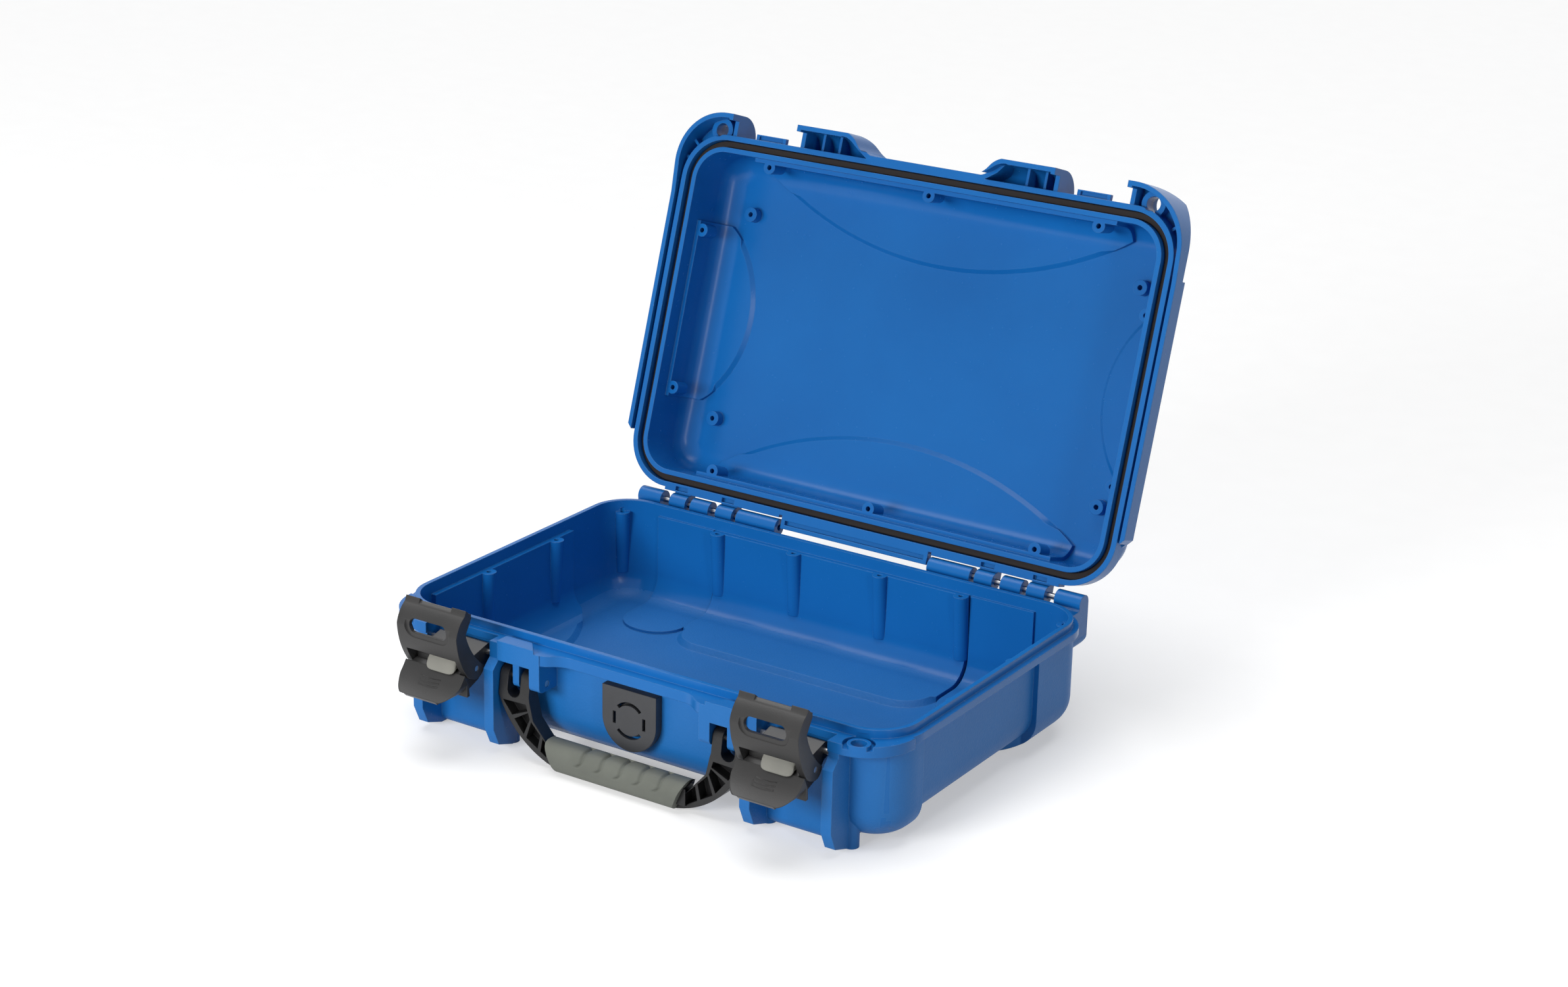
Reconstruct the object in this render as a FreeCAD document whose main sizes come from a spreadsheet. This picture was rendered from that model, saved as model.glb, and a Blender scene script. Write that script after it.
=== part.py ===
"""Moulded hard case: base tray, hinged lid with a gasket, two draw latches and a carrying handle.

Millimetres. +Z is up and the floor under the feet is Z = 0. X runs along the case, -Y is the latch
side and +Y the hinge side, and X = Y = 0 is the middle of the sealing rim. The lid stands open.
"""
import FreeCAD, Part
import math
import os
import Sketcher
from FreeCAD import Placement, Rotation, Vector

doc = FreeCAD.newDocument("hard_case")
sheet = doc.addObject("Spreadsheet::Sheet", "Sizes")


class Size:
    """A length that knows its number and the sheet expression that drives it."""

    def __init__(self, value, text):
        self.value = float(value)
        self.text = text

    def __add__(self, other):
        other = as_size(other)
        return Size(self.value + other.value, "(%s + %s)" % (self.text, other.text))

    def __sub__(self, other):
        other = as_size(other)
        return Size(self.value - other.value, "(%s - %s)" % (self.text, other.text))

    def __mul__(self, other):
        other = as_size(other)
        return Size(self.value * other.value, "(%s * %s)" % (self.text, other.text))

    def __truediv__(self, other):
        other = as_size(other)
        return Size(self.value / other.value, "(%s / %s)" % (self.text, other.text))

    def __neg__(self):
        return Size(-self.value, "(-%s)" % self.text)

    def __radd__(self, other):
        return as_size(other) + self

    def __rsub__(self, other):
        return as_size(other) - self

    def __rmul__(self, other):
        return as_size(other) * self


def as_size(value):
    return value if isinstance(value, Size) else Size(value, repr(float(value)))


rows = []


def size(alias, value):
    """Put one driving dimension on the sheet and return it."""
    cell = "A%d" % (len(rows) + 1)
    sheet.set(cell, str(value))
    sheet.setAlias(cell, alias)
    rows.append(alias)
    return Size(value, "Sizes." + alias)


# Sealing rim, shared by both shells
rim_long = size("rim_long", 302.0)
rim_wide = size("rim_wide", 193.5)
rim_corner = size("rim_corner", 22.0)
tongue_thick = size("tongue_thick", 2.6)
tongue_tall = size("tongue_tall", 4.3)
shell_wall = size("shell_wall", 3.3)
parting_gap = size("parting_gap", 0.3)
lid_clearance = size("lid_clearance", 1.0)

# Base tray
base_tall = size("base_tall", 65.0)
foot_tall = size("foot_tall", 4.5)
floor_thick = size("floor_thick", 3.2)
bottom_round = size("bottom_round", 17.0)
flange_reach = size("flange_reach", 4.5)
flange_thick = size("flange_thick", 4.0)
front_flange_reach = size("front_flange_reach", 7.0)
front_flange_thick = size("front_flange_thick", 5.7)
ledge_drop = size("ledge_drop", 6.5)
lens_deep = size("lens_deep", 3.0)
side_lens_half = size("side_lens_half", 57.0)
side_lens_shift = size("side_lens_shift", -13.0)
side_lens_sag = size("side_lens_sag", 24.0)
end_lens_half = size("end_lens_half", 79.0)
end_lens_deep = size("end_lens_deep", 52.0)
end_lens_corner = size("end_lens_corner", 20.0)
hollow_start = size("hollow_start", 83.5)
hollow_end = size("hollow_end", 122.0)
hollow_deep = size("hollow_deep", 47.0)
hollow_corner = size("hollow_corner", 18.0)
hollow_rise = size("hollow_rise", 1.6)
lens_top_gap = size("lens_top_gap", 2.0)
foot_radius = size("foot_radius", 4.0)
foot_inset = size("foot_inset", 5.0)
foot_outer_place = size("foot_outer_place", 128.0)
foot_inner_place = size("foot_inner_place", 80.0)
boss_radius = size("boss_radius", 4.2)
boss_lean = size("boss_lean", 0.085)
boss_hole = size("boss_hole", 1.4)
boss_hole_deep = size("boss_hole_deep", 10.0)
base_boss_inset = size("base_boss_inset", 7.4)
base_back_boss_near = size("base_back_boss_near", 28.0)
base_back_boss_far = size("base_back_boss_far", 79.0)
base_side_boss = size("base_side_boss", 30.0)
corner_boss_inset = size("corner_boss_inset", 10.0)

# Lid
lid_tall = size("lid_tall", 37.0)
panel_thick = size("panel_thick", 3.2)
lid_round = size("lid_round", 16.0)
lip_inset = size("lip_inset", 4.8)
lid_flange_reach = size("lid_flange_reach", 5.0)
lid_flange_tall = size("lid_flange_tall", 6.0)
groove_wide = size("groove_wide", 4.0)
groove_deep = size("groove_deep", 3.0)
gasket_gap = size("gasket_gap", 0.15)
lid_lens_deep = size("lid_lens_deep", 2.2)
lid_side_lens_half = size("lid_side_lens_half", 48.0)
lid_side_lens_sag = size("lid_side_lens_sag", 24.0)
lid_end_lens_half = size("lid_end_lens_half", 112.0)
lid_end_lens_sag = size("lid_end_lens_sag", 34.0)
lid_boss_radius = size("lid_boss_radius", 3.8)
lid_end_boss = size("lid_end_boss", 105.0)
lid_side_boss = size("lid_side_boss", 46.0)
standoff_long = size("standoff_long", 125.5)
standoff_wide = size("standoff_wide", 60.0)
standoff_radius = size("standoff_radius", 4.2)
standoff_tall = size("standoff_tall", 5.9)
lid_open = size("lid_open", 107.7)

# Bumper skirt and lobes of the lid
skirt_reach = size("skirt_reach", 9.5)
skirt_thick = size("skirt_thick", 2.6)
skirt_drop = size("skirt_drop", 5.1)
skirt_back_end = size("skirt_back_end", 71.0)
skirt_taper = size("skirt_taper", 7.0)
lobe_reach = size("lobe_reach", 17.0)
lobe_drop = size("lobe_drop", 10.0)
lobe_rise = size("lobe_rise", 17.5)
lobe_straight = size("lobe_straight", 3.0)
corner_lobe_start = size("corner_lobe_start", 22.2)
corner_lobe_round = size("corner_lobe_round", 32.0)
handle_lobe_inner = size("handle_lobe_inner", 48.6)
handle_lobe_outer = size("handle_lobe_outer", 81.6)
swoop_inner = size("swoop_inner", 35.0)
swoop_radius = size("swoop_radius", 13.0)
lobe_rib_thick = size("lobe_rib_thick", 1.6)
padlock_place = size("padlock_place", 136.8)
padlock_out = size("padlock_out", 7.25)
padlock_hole = size("padlock_hole", 4.0)
padlock_ring = size("padlock_ring", 7.0)
padlock_land = size("padlock_land", 1.9)
padlock_sink = size("padlock_sink", 2.2)
padlock_ring_tall = size("padlock_ring_tall", 8.0)

# Hinge
hinge_out = size("hinge_out", 12.4)
hinge_drop = size("hinge_drop", 1.6)
knuckle_radius = size("knuckle_radius", 5.0)
hinge_pin_radius = size("hinge_pin_radius", 1.75)
running_gap = size("running_gap", 0.06)
press_gap = size("press_gap", 0.02)
base_knuckle_start = size("base_knuckle_start", 49.5)
base_knuckle_end = size("base_knuckle_end", 76.0)
lid_knuckle_start = size("lid_knuckle_start", 79.0)
lid_knuckle_wide = size("lid_knuckle_wide", 11.0)
middle_knuckle_start = size("middle_knuckle_start", 95.0)
middle_knuckle_wide = size("middle_knuckle_wide", 12.5)
outer_lid_knuckle_start = size("outer_lid_knuckle_start", 111.0)
ear_start = size("ear_start", 128.0)
ear_end = size("ear_end", 143.5)
ear_drop = size("ear_drop", 27.0)
ear_round = size("ear_round", 7.0)
hinge_lip_gap = size("hinge_lip_gap", 0.8)
hinge_slot_long = size("hinge_slot_long", 8.4)
hinge_slot_wide = size("hinge_slot_wide", 2.4)
hinge_slot_deep = size("hinge_slot_deep", 3.0)
hinge_sill_tall = size("hinge_sill_tall", 4.5)
back_bar_half = size("back_bar_half", 44.0)
back_bar_reach = size("back_bar_reach", 4.0)

# Latch bays on the base
latch_centre = size("latch_centre", 102.4)
latch_wide = size("latch_wide", 38.8)
bay_wide = size("bay_wide", 41.0)
rib_thick = size("rib_thick", 6.0)
rib_reach = size("rib_reach", 17.25)
rib_upper_reach = size("rib_upper_reach", 12.25)
rib_step_drop = size("rib_step_drop", 18.0)
rib_foot_reach = size("rib_foot_reach", 13.0)
rib_foot_rise = size("rib_foot_rise", 9.5)
apron_low = size("apron_low", 0.8)
apron_round = size("apron_round", 6.0)

# Latch
lever_pivot_out = size("lever_pivot_out", 7.75)
lever_pivot_drop = size("lever_pivot_drop", 13.0)
claw_pivot_out = size("claw_pivot_out", 21.25)
claw_pivot_drop = size("claw_pivot_drop", 17.0)
latch_pin_radius = size("latch_pin_radius", 1.5)
latch_side_gap = size("latch_side_gap", 0.5)
claw_arm_thick = size("claw_arm_thick", 3.2)
claw_plate = size("claw_plate", 2.8)
claw_top_out = size("claw_top_out", 7.0)
claw_top_up = size("claw_top_up", 32.5)
claw_bulge_out = size("claw_bulge_out", 16.0)
claw_bulge_up = size("claw_bulge_up", 21.0)
claw_low_out = size("claw_low_out", 9.4)
claw_low_up = size("claw_low_up", 0.6)
claw_flange_deep = size("claw_flange_deep", 7.4)
claw_eye_radius = size("claw_eye_radius", 5.6)
claw_hook_in = size("claw_hook_in", 4.0)
claw_hook_up = size("claw_hook_up", 28.6)
claw_window_wide = size("claw_window_wide", 24.0)
claw_window_tall = size("claw_window_tall", 7.6)
claw_window_up = size("claw_window_up", 21.6)
claw_notch_up = size("claw_notch_up", 7.4)
claw_frame = size("claw_frame", 2.4)
claw_frame_deep = size("claw_frame_deep", 1.0)
claw_lug = size("claw_lug", 1.5)
claw_lug_wide = size("claw_lug_wide", 9.0)
paddle_root_out = size("paddle_root_out", 9.6)
paddle_root_drop = size("paddle_root_drop", 0.8)
paddle_out = size("paddle_out", 13.2)
paddle_drop = size("paddle_drop", 12.2)
paddle_thick = size("paddle_thick", 3.0)
paddle_corner = size("paddle_corner", 9.0)
paddle_dish = size("paddle_dish", 34.0)
lever_eye_radius = size("lever_eye_radius", 4.4)
lever_back_out = size("lever_back_out", 8.0)
lever_back_drop = size("lever_back_drop", 12.6)
lever_belly_out = size("lever_belly_out", 19.5)
lever_belly_drop = size("lever_belly_drop", 17.0)
slider_wide = size("slider_wide", 18.3)
slider_right = size("slider_right", 13.2)
slider_thick = size("slider_thick", 4.2)
slider_rise = size("slider_rise", 6.6)
slider_out = size("slider_out", 9.2)
slider_lip = size("slider_lip", 2.6)
catch_half = size("catch_half", 9.9)
catch_reach = size("catch_reach", 8.2)
catch_drop = size("catch_drop", 1.5)
catch_rise = size("catch_rise", 1.3)

# Handle
bracket_inner = size("bracket_inner", 49.0)
bracket_reach = size("bracket_reach", 13.75)
bracket_tall = size("bracket_tall", 8.7)
bracket_rise = size("bracket_rise", 2.0)
bracket_rise_clear = size("bracket_rise_clear", 3.5)
cheek_thick = size("cheek_thick", 6.5)
cheek_drop = size("cheek_drop", 25.5)
post_thick = size("post_thick", 4.0)
post_place = size("post_place", 66.0)
post_drop = size("post_drop", 27.0)
post_reach = size("post_reach", 11.0)
handle_pivot_out = size("handle_pivot_out", 7.25)
handle_pivot_drop = size("handle_pivot_drop", 21.5)
handle_pin_radius = size("handle_pin_radius", 1.75)
arm_inner = size("arm_inner", 56.2)
arm_outer = size("arm_outer", 75.2)
arm_eye_radius = size("arm_eye_radius", 4.9)
arm_thick = size("arm_thick", 8.0)
arm_face_out = size("arm_face_out", 13.6)
arm_wall = size("arm_wall", 1.8)
arm_web = size("arm_web", 2.0)
fork_gap = size("fork_gap", 8.0)
fork_deep = size("fork_deep", 10.5)
grip_half_high = size("grip_half_high", 43.0)
grip_half_low = size("grip_half_low", 36.0)
grip_out = size("grip_out", 12.3)
arm_bow = size("arm_bow", 52.0)
arm_belly = size("arm_belly", 16.6)
arm_belly_drop = size("arm_belly_drop", 20.0)
arm_knee = size("arm_knee", 21.8)
arm_knee_drop = size("arm_knee_drop", 10.3)
grip_tall = size("grip_tall", 16.5)
grip_thick = size("grip_thick", 14.5)
grip_round = size("grip_round", 4.2)
grip_core_inset = size("grip_core_inset", 3.6)
handle_floor_gap = size("handle_floor_gap", 0.6)
arm_shoulder_drop = size("arm_shoulder_drop", 31.0)

# Pressure valve behind the front plate
plate_share = size("plate_share", 0.469)
plate_rise = size("plate_rise", 0.369)
plate_thick = size("plate_thick", 5.0)
plate_wall = size("plate_wall", 1.8)
slot_inset = size("slot_inset", 1.0)
slot_wide = size("slot_wide", 1.8)
valve_bore_share = size("valve_bore_share", 0.364)
valve_flange_share = size("valve_flange_share", 0.545)
valve_flange_thick = size("valve_flange_thick", 1.6)
valve_nut_thick = size("valve_nut_thick", 3.0)
valve_seal_thick = size("valve_seal_thick", 1.0)
membrane_share = size("membrane_share", 0.255)
membrane_thick = size("membrane_thick", 0.6)
vent_hole_share = size("vent_hole_share", 0.158)
doc.recompute()


def bind(obj, prop, value):
    obj.setExpression(prop, as_size(value).text)


def outline(sketch, points):
    """Close a loop through points. A point (u, v, radius, turn) starts an arc to the next point."""
    first = sketch.GeometryCount
    count = len(points)
    ends = []
    for i in range(count):
        here = points[i]
        there = points[(i + 1) % count]
        start = Vector(as_size(here[0]).value, as_size(here[1]).value, 0)
        stop = Vector(as_size(there[0]).value, as_size(there[1]).value, 0)
        if len(here) == 2:
            sketch.addGeometry(Part.LineSegment(start, stop), False)
            ends.append((1, 2))
            continue
        radius, turn = as_size(here[2]), here[3]
        chord = stop - start
        rise = math.sqrt(max(radius.value ** 2 - chord.Length ** 2 / 4, 0))
        left = Vector(-chord.y, chord.x, 0).normalize()
        centre = (start + stop) * 0.5 + left * (rise * turn)
        low, high = (start, stop) if turn > 0 else (stop, start)
        angle_low = math.atan2(low.y - centre.y, low.x - centre.x)
        angle_high = math.atan2(high.y - centre.y, high.x - centre.x)
        if angle_high < angle_low:
            angle_high += 2 * math.pi
        circle = Part.Circle(centre, Vector(0, 0, 1), radius.value)
        sketch.addGeometry(Part.ArcOfCircle(circle, angle_low, angle_high), False)
        ends.append((1, 2) if turn > 0 else (2, 1))
    for i in range(count):
        following = (i + 1) % count
        sketch.addConstraint(Sketcher.Constraint(
            "Coincident", first + i, ends[i][1], first + following, ends[following][0]))
    for i, point in enumerate(points):
        for kind, value in (("DistanceX", point[0]), ("DistanceY", point[1])):
            index = sketch.addConstraint(Sketcher.Constraint(
                kind, -1, 1, first + i, ends[i][0], as_size(value).value))
            bind(sketch, "Constraints[%d]" % index, value)
        if len(point) > 2:
            index = sketch.addConstraint(Sketcher.Constraint(
                "Radius", first + i, as_size(point[2]).value))
            bind(sketch, "Constraints[%d]" % index, point[2])


def bow(half_chord, sag):
    """Radius of an arc from its half chord and its sag."""
    return (half_chord * half_chord + sag * sag) / (2 * sag)


directions = {"x": Vector(1, 0, 0), "y": Vector(0, 1, 0), "z": Vector(0, 0, 1)}
sketch_turns = {
    "x": Rotation(Vector(0, 1, 0), Vector(0, 0, 1), Vector(1, 0, 0), "ZXY"),
    "y": Rotation(Vector(1, 0, 0), 90),
    "z": Rotation(),
}


def prism(name, axis, points, low, high):
    """Extrude an outline along one axis. The outline is (y, z), (x, z) or (x, y)."""
    sketch = doc.addObject("Sketcher::SketchObject", name + "_outline")
    sketch.Placement = Placement(Vector(), sketch_turns[axis])
    outline(sketch, points)
    solid = doc.addObject("Part::Extrusion", name)
    solid.Base = sketch
    solid.DirMode = "Custom"
    solid.Dir = directions[axis]
    solid.Solid = True
    bind(solid, "LengthFwd", high)
    bind(solid, "LengthRev", -as_size(low))
    return solid


def block(name, x, y, z):
    """Box from three (low, high) pairs."""
    solid = doc.addObject("Part::Box", name)
    for prop, letter, (low, high) in (("Length", "x", x), ("Width", "y", y), ("Height", "z", z)):
        bind(solid, prop, high - as_size(low))
        bind(solid, "Placement.Base." + letter, low)
    return solid


def rod(name, axis, place, radius, low, high):
    """Cylinder along one axis. place is the pair of the other two coordinates, in x, y, z order."""
    solid = doc.addObject("Part::Cylinder", name)
    turns = {"x": Rotation(Vector(0, 1, 0), 90), "y": Rotation(Vector(1, 0, 0), -90), "z": Rotation()}
    solid.Placement = Placement(Vector(), turns[axis])
    bind(solid, "Radius", radius)
    bind(solid, "Height", high - as_size(low))
    others = [letter for letter in "xyz" if letter != axis]
    bind(solid, "Placement.Base." + axis, low)
    for letter, value in zip(others, place):
        bind(solid, "Placement.Base." + letter, value)
    return solid


def leaning_rod(name, place, outward, radius, mouth, root):
    """Wall boss: a rod that stands at place at its mouth and leans into the wall towards its root."""
    solid = doc.addObject("Part::Cylinder", name)
    rise = mouth - root
    way = 1 if rise.value > 0 else -1
    lean = Vector(outward[0], outward[1], 0) * (-way * boss_lean.value)
    solid.Placement = Placement(Vector(), Rotation(Vector(0, 0, 1), lean + Vector(0, 0, 1)))
    bind(solid, "Radius", radius)
    bind(solid, "Height", rise * way + over)
    foot = root if way > 0 else mouth - over
    bind(solid, "Placement.Base.x", place[0] + (mouth - foot) * boss_lean * (way * outward[0]))
    bind(solid, "Placement.Base.y", place[1] + (mouth - foot) * boss_lean * (way * outward[1]))
    bind(solid, "Placement.Base.z", foot)
    return solid


def rounded_block(name, half_x, half_y, low, high, corner, edge=None, edge_at=None):
    """Upright block with round corners, and round edges at its low or high face."""
    core = block(name + "_core", (-half_x, half_x), (-half_y, half_y), (low, high))
    doc.recompute()
    level = {"low": as_size(low).value, "high": as_size(high).value}.get(edge_at)
    choices = []
    for number, line in enumerate(core.Shape.Edges, 1):
        ends = [vertex.Point for vertex in line.Vertexes]
        if abs(ends[0].z - ends[1].z) > 1e-6:
            choices.append((number, corner.value, corner.value))
        elif level is not None and abs(ends[0].z - level) < 1e-6:
            choices.append((number, edge.value, edge.value))
    solid = doc.addObject("Part::Fillet", name)
    solid.Base = core
    solid.Edges = choices
    return solid


def joined(name, parts):
    solid = doc.addObject("Part::MultiFuse", name)
    solid.Shapes = parts
    solid.Refine = False
    return solid


def cut_away(name, base, tools):
    solid = doc.addObject("Part::Cut", name)
    solid.Base = base
    solid.Tool = tools[0] if len(tools) == 1 else joined(name + "_tools", tools)
    solid.Refine = False
    return solid


def shared(name, parts):
    solid = doc.addObject("Part::MultiCommon", name)
    solid.Shapes = parts
    return solid


def both_sides(name, parts):
    """Parts of the +X half and their mirror images."""
    half = parts[0] if len(parts) == 1 else joined(name + "_half", parts)
    image = doc.addObject("Part::Mirroring", name + "_image")
    image.Source = half
    image.Normal = Vector(1, 0, 0)
    return [half, image]


planes = {"x": "YZ_Plane", "y": "XZ_Plane", "z": "XY_Plane"}


def new_body(label):
    body = doc.addObject("PartDesign::Body", label)
    body.Label = label
    return body


def body_sketch(body, name, axis, loops, level):
    """Sketch on one of the body's own planes, moved along the plane's axis to level."""
    sketch = body.newObject("Sketcher::SketchObject", name + "_outline")
    plane = [item for item in body.Origin.OriginFeatures if item.Role == planes[axis]][0]
    sketch.AttachmentSupport = (plane, [""])
    sketch.MapMode = "FlatFace"
    bind(sketch, ".AttachmentOffset.Base.z", -as_size(level) if axis == "y" else level)
    for points in loops:
        outline(sketch, points)
    return sketch


def pad(body, name, axis, loops, low, high):
    """Add material between two levels along an axis."""
    feature = body.newObject("PartDesign::Pad", name)
    feature.Profile = body_sketch(body, name, axis, loops, high if axis == "y" else low)
    bind(feature, "Length", high - as_size(low))
    return feature


def pocket(body, name, axis, loops, low, high):
    """Take material away between two levels along an axis."""
    feature = body.newObject("PartDesign::Pocket", name)
    feature.Profile = body_sketch(body, name, axis, loops, low if axis == "y" else high)
    bind(feature, "Length", high - as_size(low))
    return feature


def ring(u, v, radius):
    """Circle as four quarter arcs, for an outline."""
    return [(u + radius, v, radius, 1), (u, v + radius, radius, 1),
            (u - radius, v, radius, 1), (u, v - radius, radius, 1)]


def rectangle(u_low, u_high, v_low, v_high):
    return [(u_low, v_low), (u_high, v_low), (u_high, v_high), (u_low, v_high)]


def rounded_rectangle(u_low, u_high, v_low, v_high, radius):
    """Rectangle with quarter-round corners, for an outline."""
    return [(u_low + radius, v_low), (u_high - radius, v_low, radius, 1),
            (u_high, v_low + radius), (u_high, v_high - radius, radius, 1),
            (u_high - radius, v_high), (u_low + radius, v_high, radius, 1),
            (u_low, v_high - radius), (u_low, v_low + radius, radius, 1)]


# Levels and lines that the pieces share
rim_x = rim_long / 2
rim_y = rim_wide / 2
front = -rim_y
back = rim_y
flange_top = base_tall - tongue_tall
flange_low = flange_top - flange_thick
wall_out = shell_wall - tongue_thick / 2
hinge_y = back + hinge_out
hinge_z = base_tall - hinge_drop
over = size("cut_margin", 2.0)
bay_inner = latch_centre - bay_wide / 2
bay_outer = latch_centre + bay_wide / 2
lever_y = front - lever_pivot_out
lever_z = base_tall - lever_pivot_drop
claw_y = front - claw_pivot_out
claw_z = base_tall - claw_pivot_drop
swing_y = front - handle_pivot_out
swing_z = base_tall - handle_pivot_drop
inside = front + over
wall_low = foot_tall + bottom_round
wall_high = flange_low - wall_low
plate_half = wall_high * plate_share
plate_z = wall_low + wall_high * plate_rise
valve_bore = plate_half * valve_bore_share
valve_flange = plate_half * valve_flange_share
membrane_radius = plate_half * membrane_share
vent_hole = plate_half * vent_hole_share


def side_lens(name, half_x, half, shift, sag, low, high):
    """Flat-sided lens on a side wall that runs onto the floor or panel, bounded by an arc."""
    edge = half_x + over
    root = half_x - bottom_round / 2
    return prism(name, "z", [(root, shift - half), (edge, shift - half), (edge, shift + half),
                             (root, shift + half, bow(half, sag), 1)], low, high)


def end_lens(name, half_y, half, sag, low, high, way):
    """The same lens on the hinge wall (way 1) or the latch wall (way -1)."""
    edge = (half_y + over) * way
    root = (half_y - bottom_round / 2) * way
    return prism(name, "z", [(half, root), (half, edge), (-half, edge), (-half, root, bow(half, sag), way)],
                 low, high)


def floor_lens(name, half_y, half, deep, corner, low, high, way):
    """Recess along the hinge wall (way 1) or the latch wall (way -1) that runs onto the floor."""
    edge = (half_y + over) * way
    reach = (half_y - deep) * way
    bend = reach + corner * way
    return prism(name, "z", [(half, edge), (-half, edge), (-half, bend, corner, way), (corner - half, reach),
                             (half - corner, reach, corner, way), (half, bend)], low, high)


def hinge_hollow(name, half_y, high):
    """Round-ended swelling of the tray under the hinge knuckles, on the +X side."""
    edge = half_y + over
    reach = half_y - hollow_deep
    bend = reach + hollow_corner
    return prism(name, "z", [
        (hollow_end, edge), (hollow_start, edge), (hollow_start, bend, hollow_corner, 1),
        (hollow_start + hollow_corner, reach), (hollow_end - hollow_corner, reach, hollow_corner, 1),
        (hollow_end, bend)], 0, high)


def base_shell():
    half_x = rim_x + wall_out
    half_y = rim_y + wall_out
    corner = rim_corner + wall_out
    outer = rounded_block("base_outer", half_x, half_y, foot_tall, flange_top, corner, bottom_round, "low")
    inset = rounded_block("base_inset", half_x - lens_deep, half_y - lens_deep, foot_tall + lens_deep,
                          flange_top, corner - lens_deep, bottom_round, "low")
    lens_high = flange_low - lens_top_gap
    sides = both_sides("base_side_lens", [
        side_lens("base_side_lens_cut", half_x, side_lens_half, side_lens_shift, side_lens_sag, 0, lens_high)])
    ends = [floor_lens("base_lens_%s" % word, half_y, end_lens_half, end_lens_deep, end_lens_corner,
                       0, lens_high, way) for word, way in (("back", 1), ("front", -1))]
    recess = cut_away("base_recess", joined("base_lenses", sides + ends), [inset])
    walls = cut_away("base_walls", outer, [recess])

    flange = rounded_block("base_flange", rim_x + flange_reach, rim_y + flange_reach, flange_low, flange_top,
                           rim_corner + flange_reach)
    tongue = rounded_block("base_tongue", rim_x + tongue_thick / 2, rim_y + tongue_thick / 2,
                           flange_low, base_tall, rim_corner + tongue_thick / 2)
    sill = block("base_sill", (-swoop_inner, swoop_inner), (front - front_flange_reach, inside),
                 (flange_top - front_flange_thick, flange_top))
    band = front_band("base_band", as_size(0), flange_top - front_flange_thick, flange_top)
    fittings = both_sides("base_fittings", latch_bay() + handle_bracket() + [band] + base_hinge() + feet())
    solid = joined("base_solid", [walls, flange, tongue, sill] + fittings)

    cavity = rounded_block("base_cavity", half_x - shell_wall, half_y - shell_wall, foot_tall + floor_thick,
                           base_tall + over, corner - shell_wall, bottom_round - shell_wall, "low")
    raised = rounded_block("base_raised", half_x - shell_wall - lens_deep, half_y - shell_wall - lens_deep,
                           foot_tall + floor_thick + lens_deep, base_tall + over,
                           corner - shell_wall - lens_deep, bottom_round - shell_wall, "low")
    ledge = base_tall - ledge_drop
    pads = both_sides("base_side_pad", [
        side_lens("base_side_pad_form", half_x - shell_wall, side_lens_half + shell_wall, side_lens_shift,
                  side_lens_sag, 0, ledge)])
    pads += [floor_lens("base_pad_%s" % word, half_y - shell_wall, end_lens_half + shell_wall, end_lens_deep,
                        end_lens_corner, 0, ledge, way) for word, way in (("back", 1), ("front", -1))]
    raised_pads = cut_away("base_raised_pads", joined("base_pads", pads), [raised])
    swell = shell_wall + hollow_rise
    swollen = rounded_block("base_swollen", half_x - swell, half_y - swell, foot_tall + floor_thick + hollow_rise,
                            base_tall + over, corner - swell, bottom_round - shell_wall, "low")
    swellings = [cut_away("base_swelling", hinge_hollow("base_hollow_form", half_y - shell_wall, ledge), [swollen])]
    tray = cut_away("base_tray", cavity, [raised_pads] + both_sides("base_swellings", swellings))
    hollow = cut_away("base_hollow", solid, [tray])

    bosses = both_sides("base_bosses", base_bosses(ledge, half_x, half_y))
    zone = block("base_boss_zone", (-half_x, half_x), (-half_y, half_y), (foot_tall, ledge))
    clipped = shared("base_bosses_clipped", [joined("base_bosses_all", bosses), zone, walls])
    whole = joined("base_whole", [hollow, clipped])
    holes = both_sides("base_holes", base_holes(ledge, half_x, half_y))
    holes.append(rod("valve_wall_hole", "y", (0, plate_z), valve_bore + press_gap,
                     front - over - over, front + lens_deep + shell_wall + over))
    return cut_away("base_shell", whole, holes)


def boss_places(half_x, half_y):
    wall_x = half_x - base_boss_inset
    wall_y = half_y - base_boss_inset
    corner_x = half_x - corner_boss_inset
    corner_y = half_y - corner_boss_inset
    slant = math.sqrt(0.5)
    return [((base_back_boss_near, wall_y), (0, 1)), ((base_back_boss_far, wall_y), (0, 1)),
            ((corner_x, corner_y), (slant, slant)), ((wall_x, base_side_boss), (1, 0)),
            ((wall_x, -base_side_boss), (1, 0)), ((base_back_boss_near, -wall_y), (0, -1)),
            ((corner_x, -corner_y), (slant, -slant))]


def base_bosses(ledge, half_x, half_y):
    low = foot_tall + bottom_round
    return [leaning_rod("base_boss_%d" % number, place, outward, boss_radius, ledge, low)
            for number, (place, outward) in enumerate(boss_places(half_x, half_y))]


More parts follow.
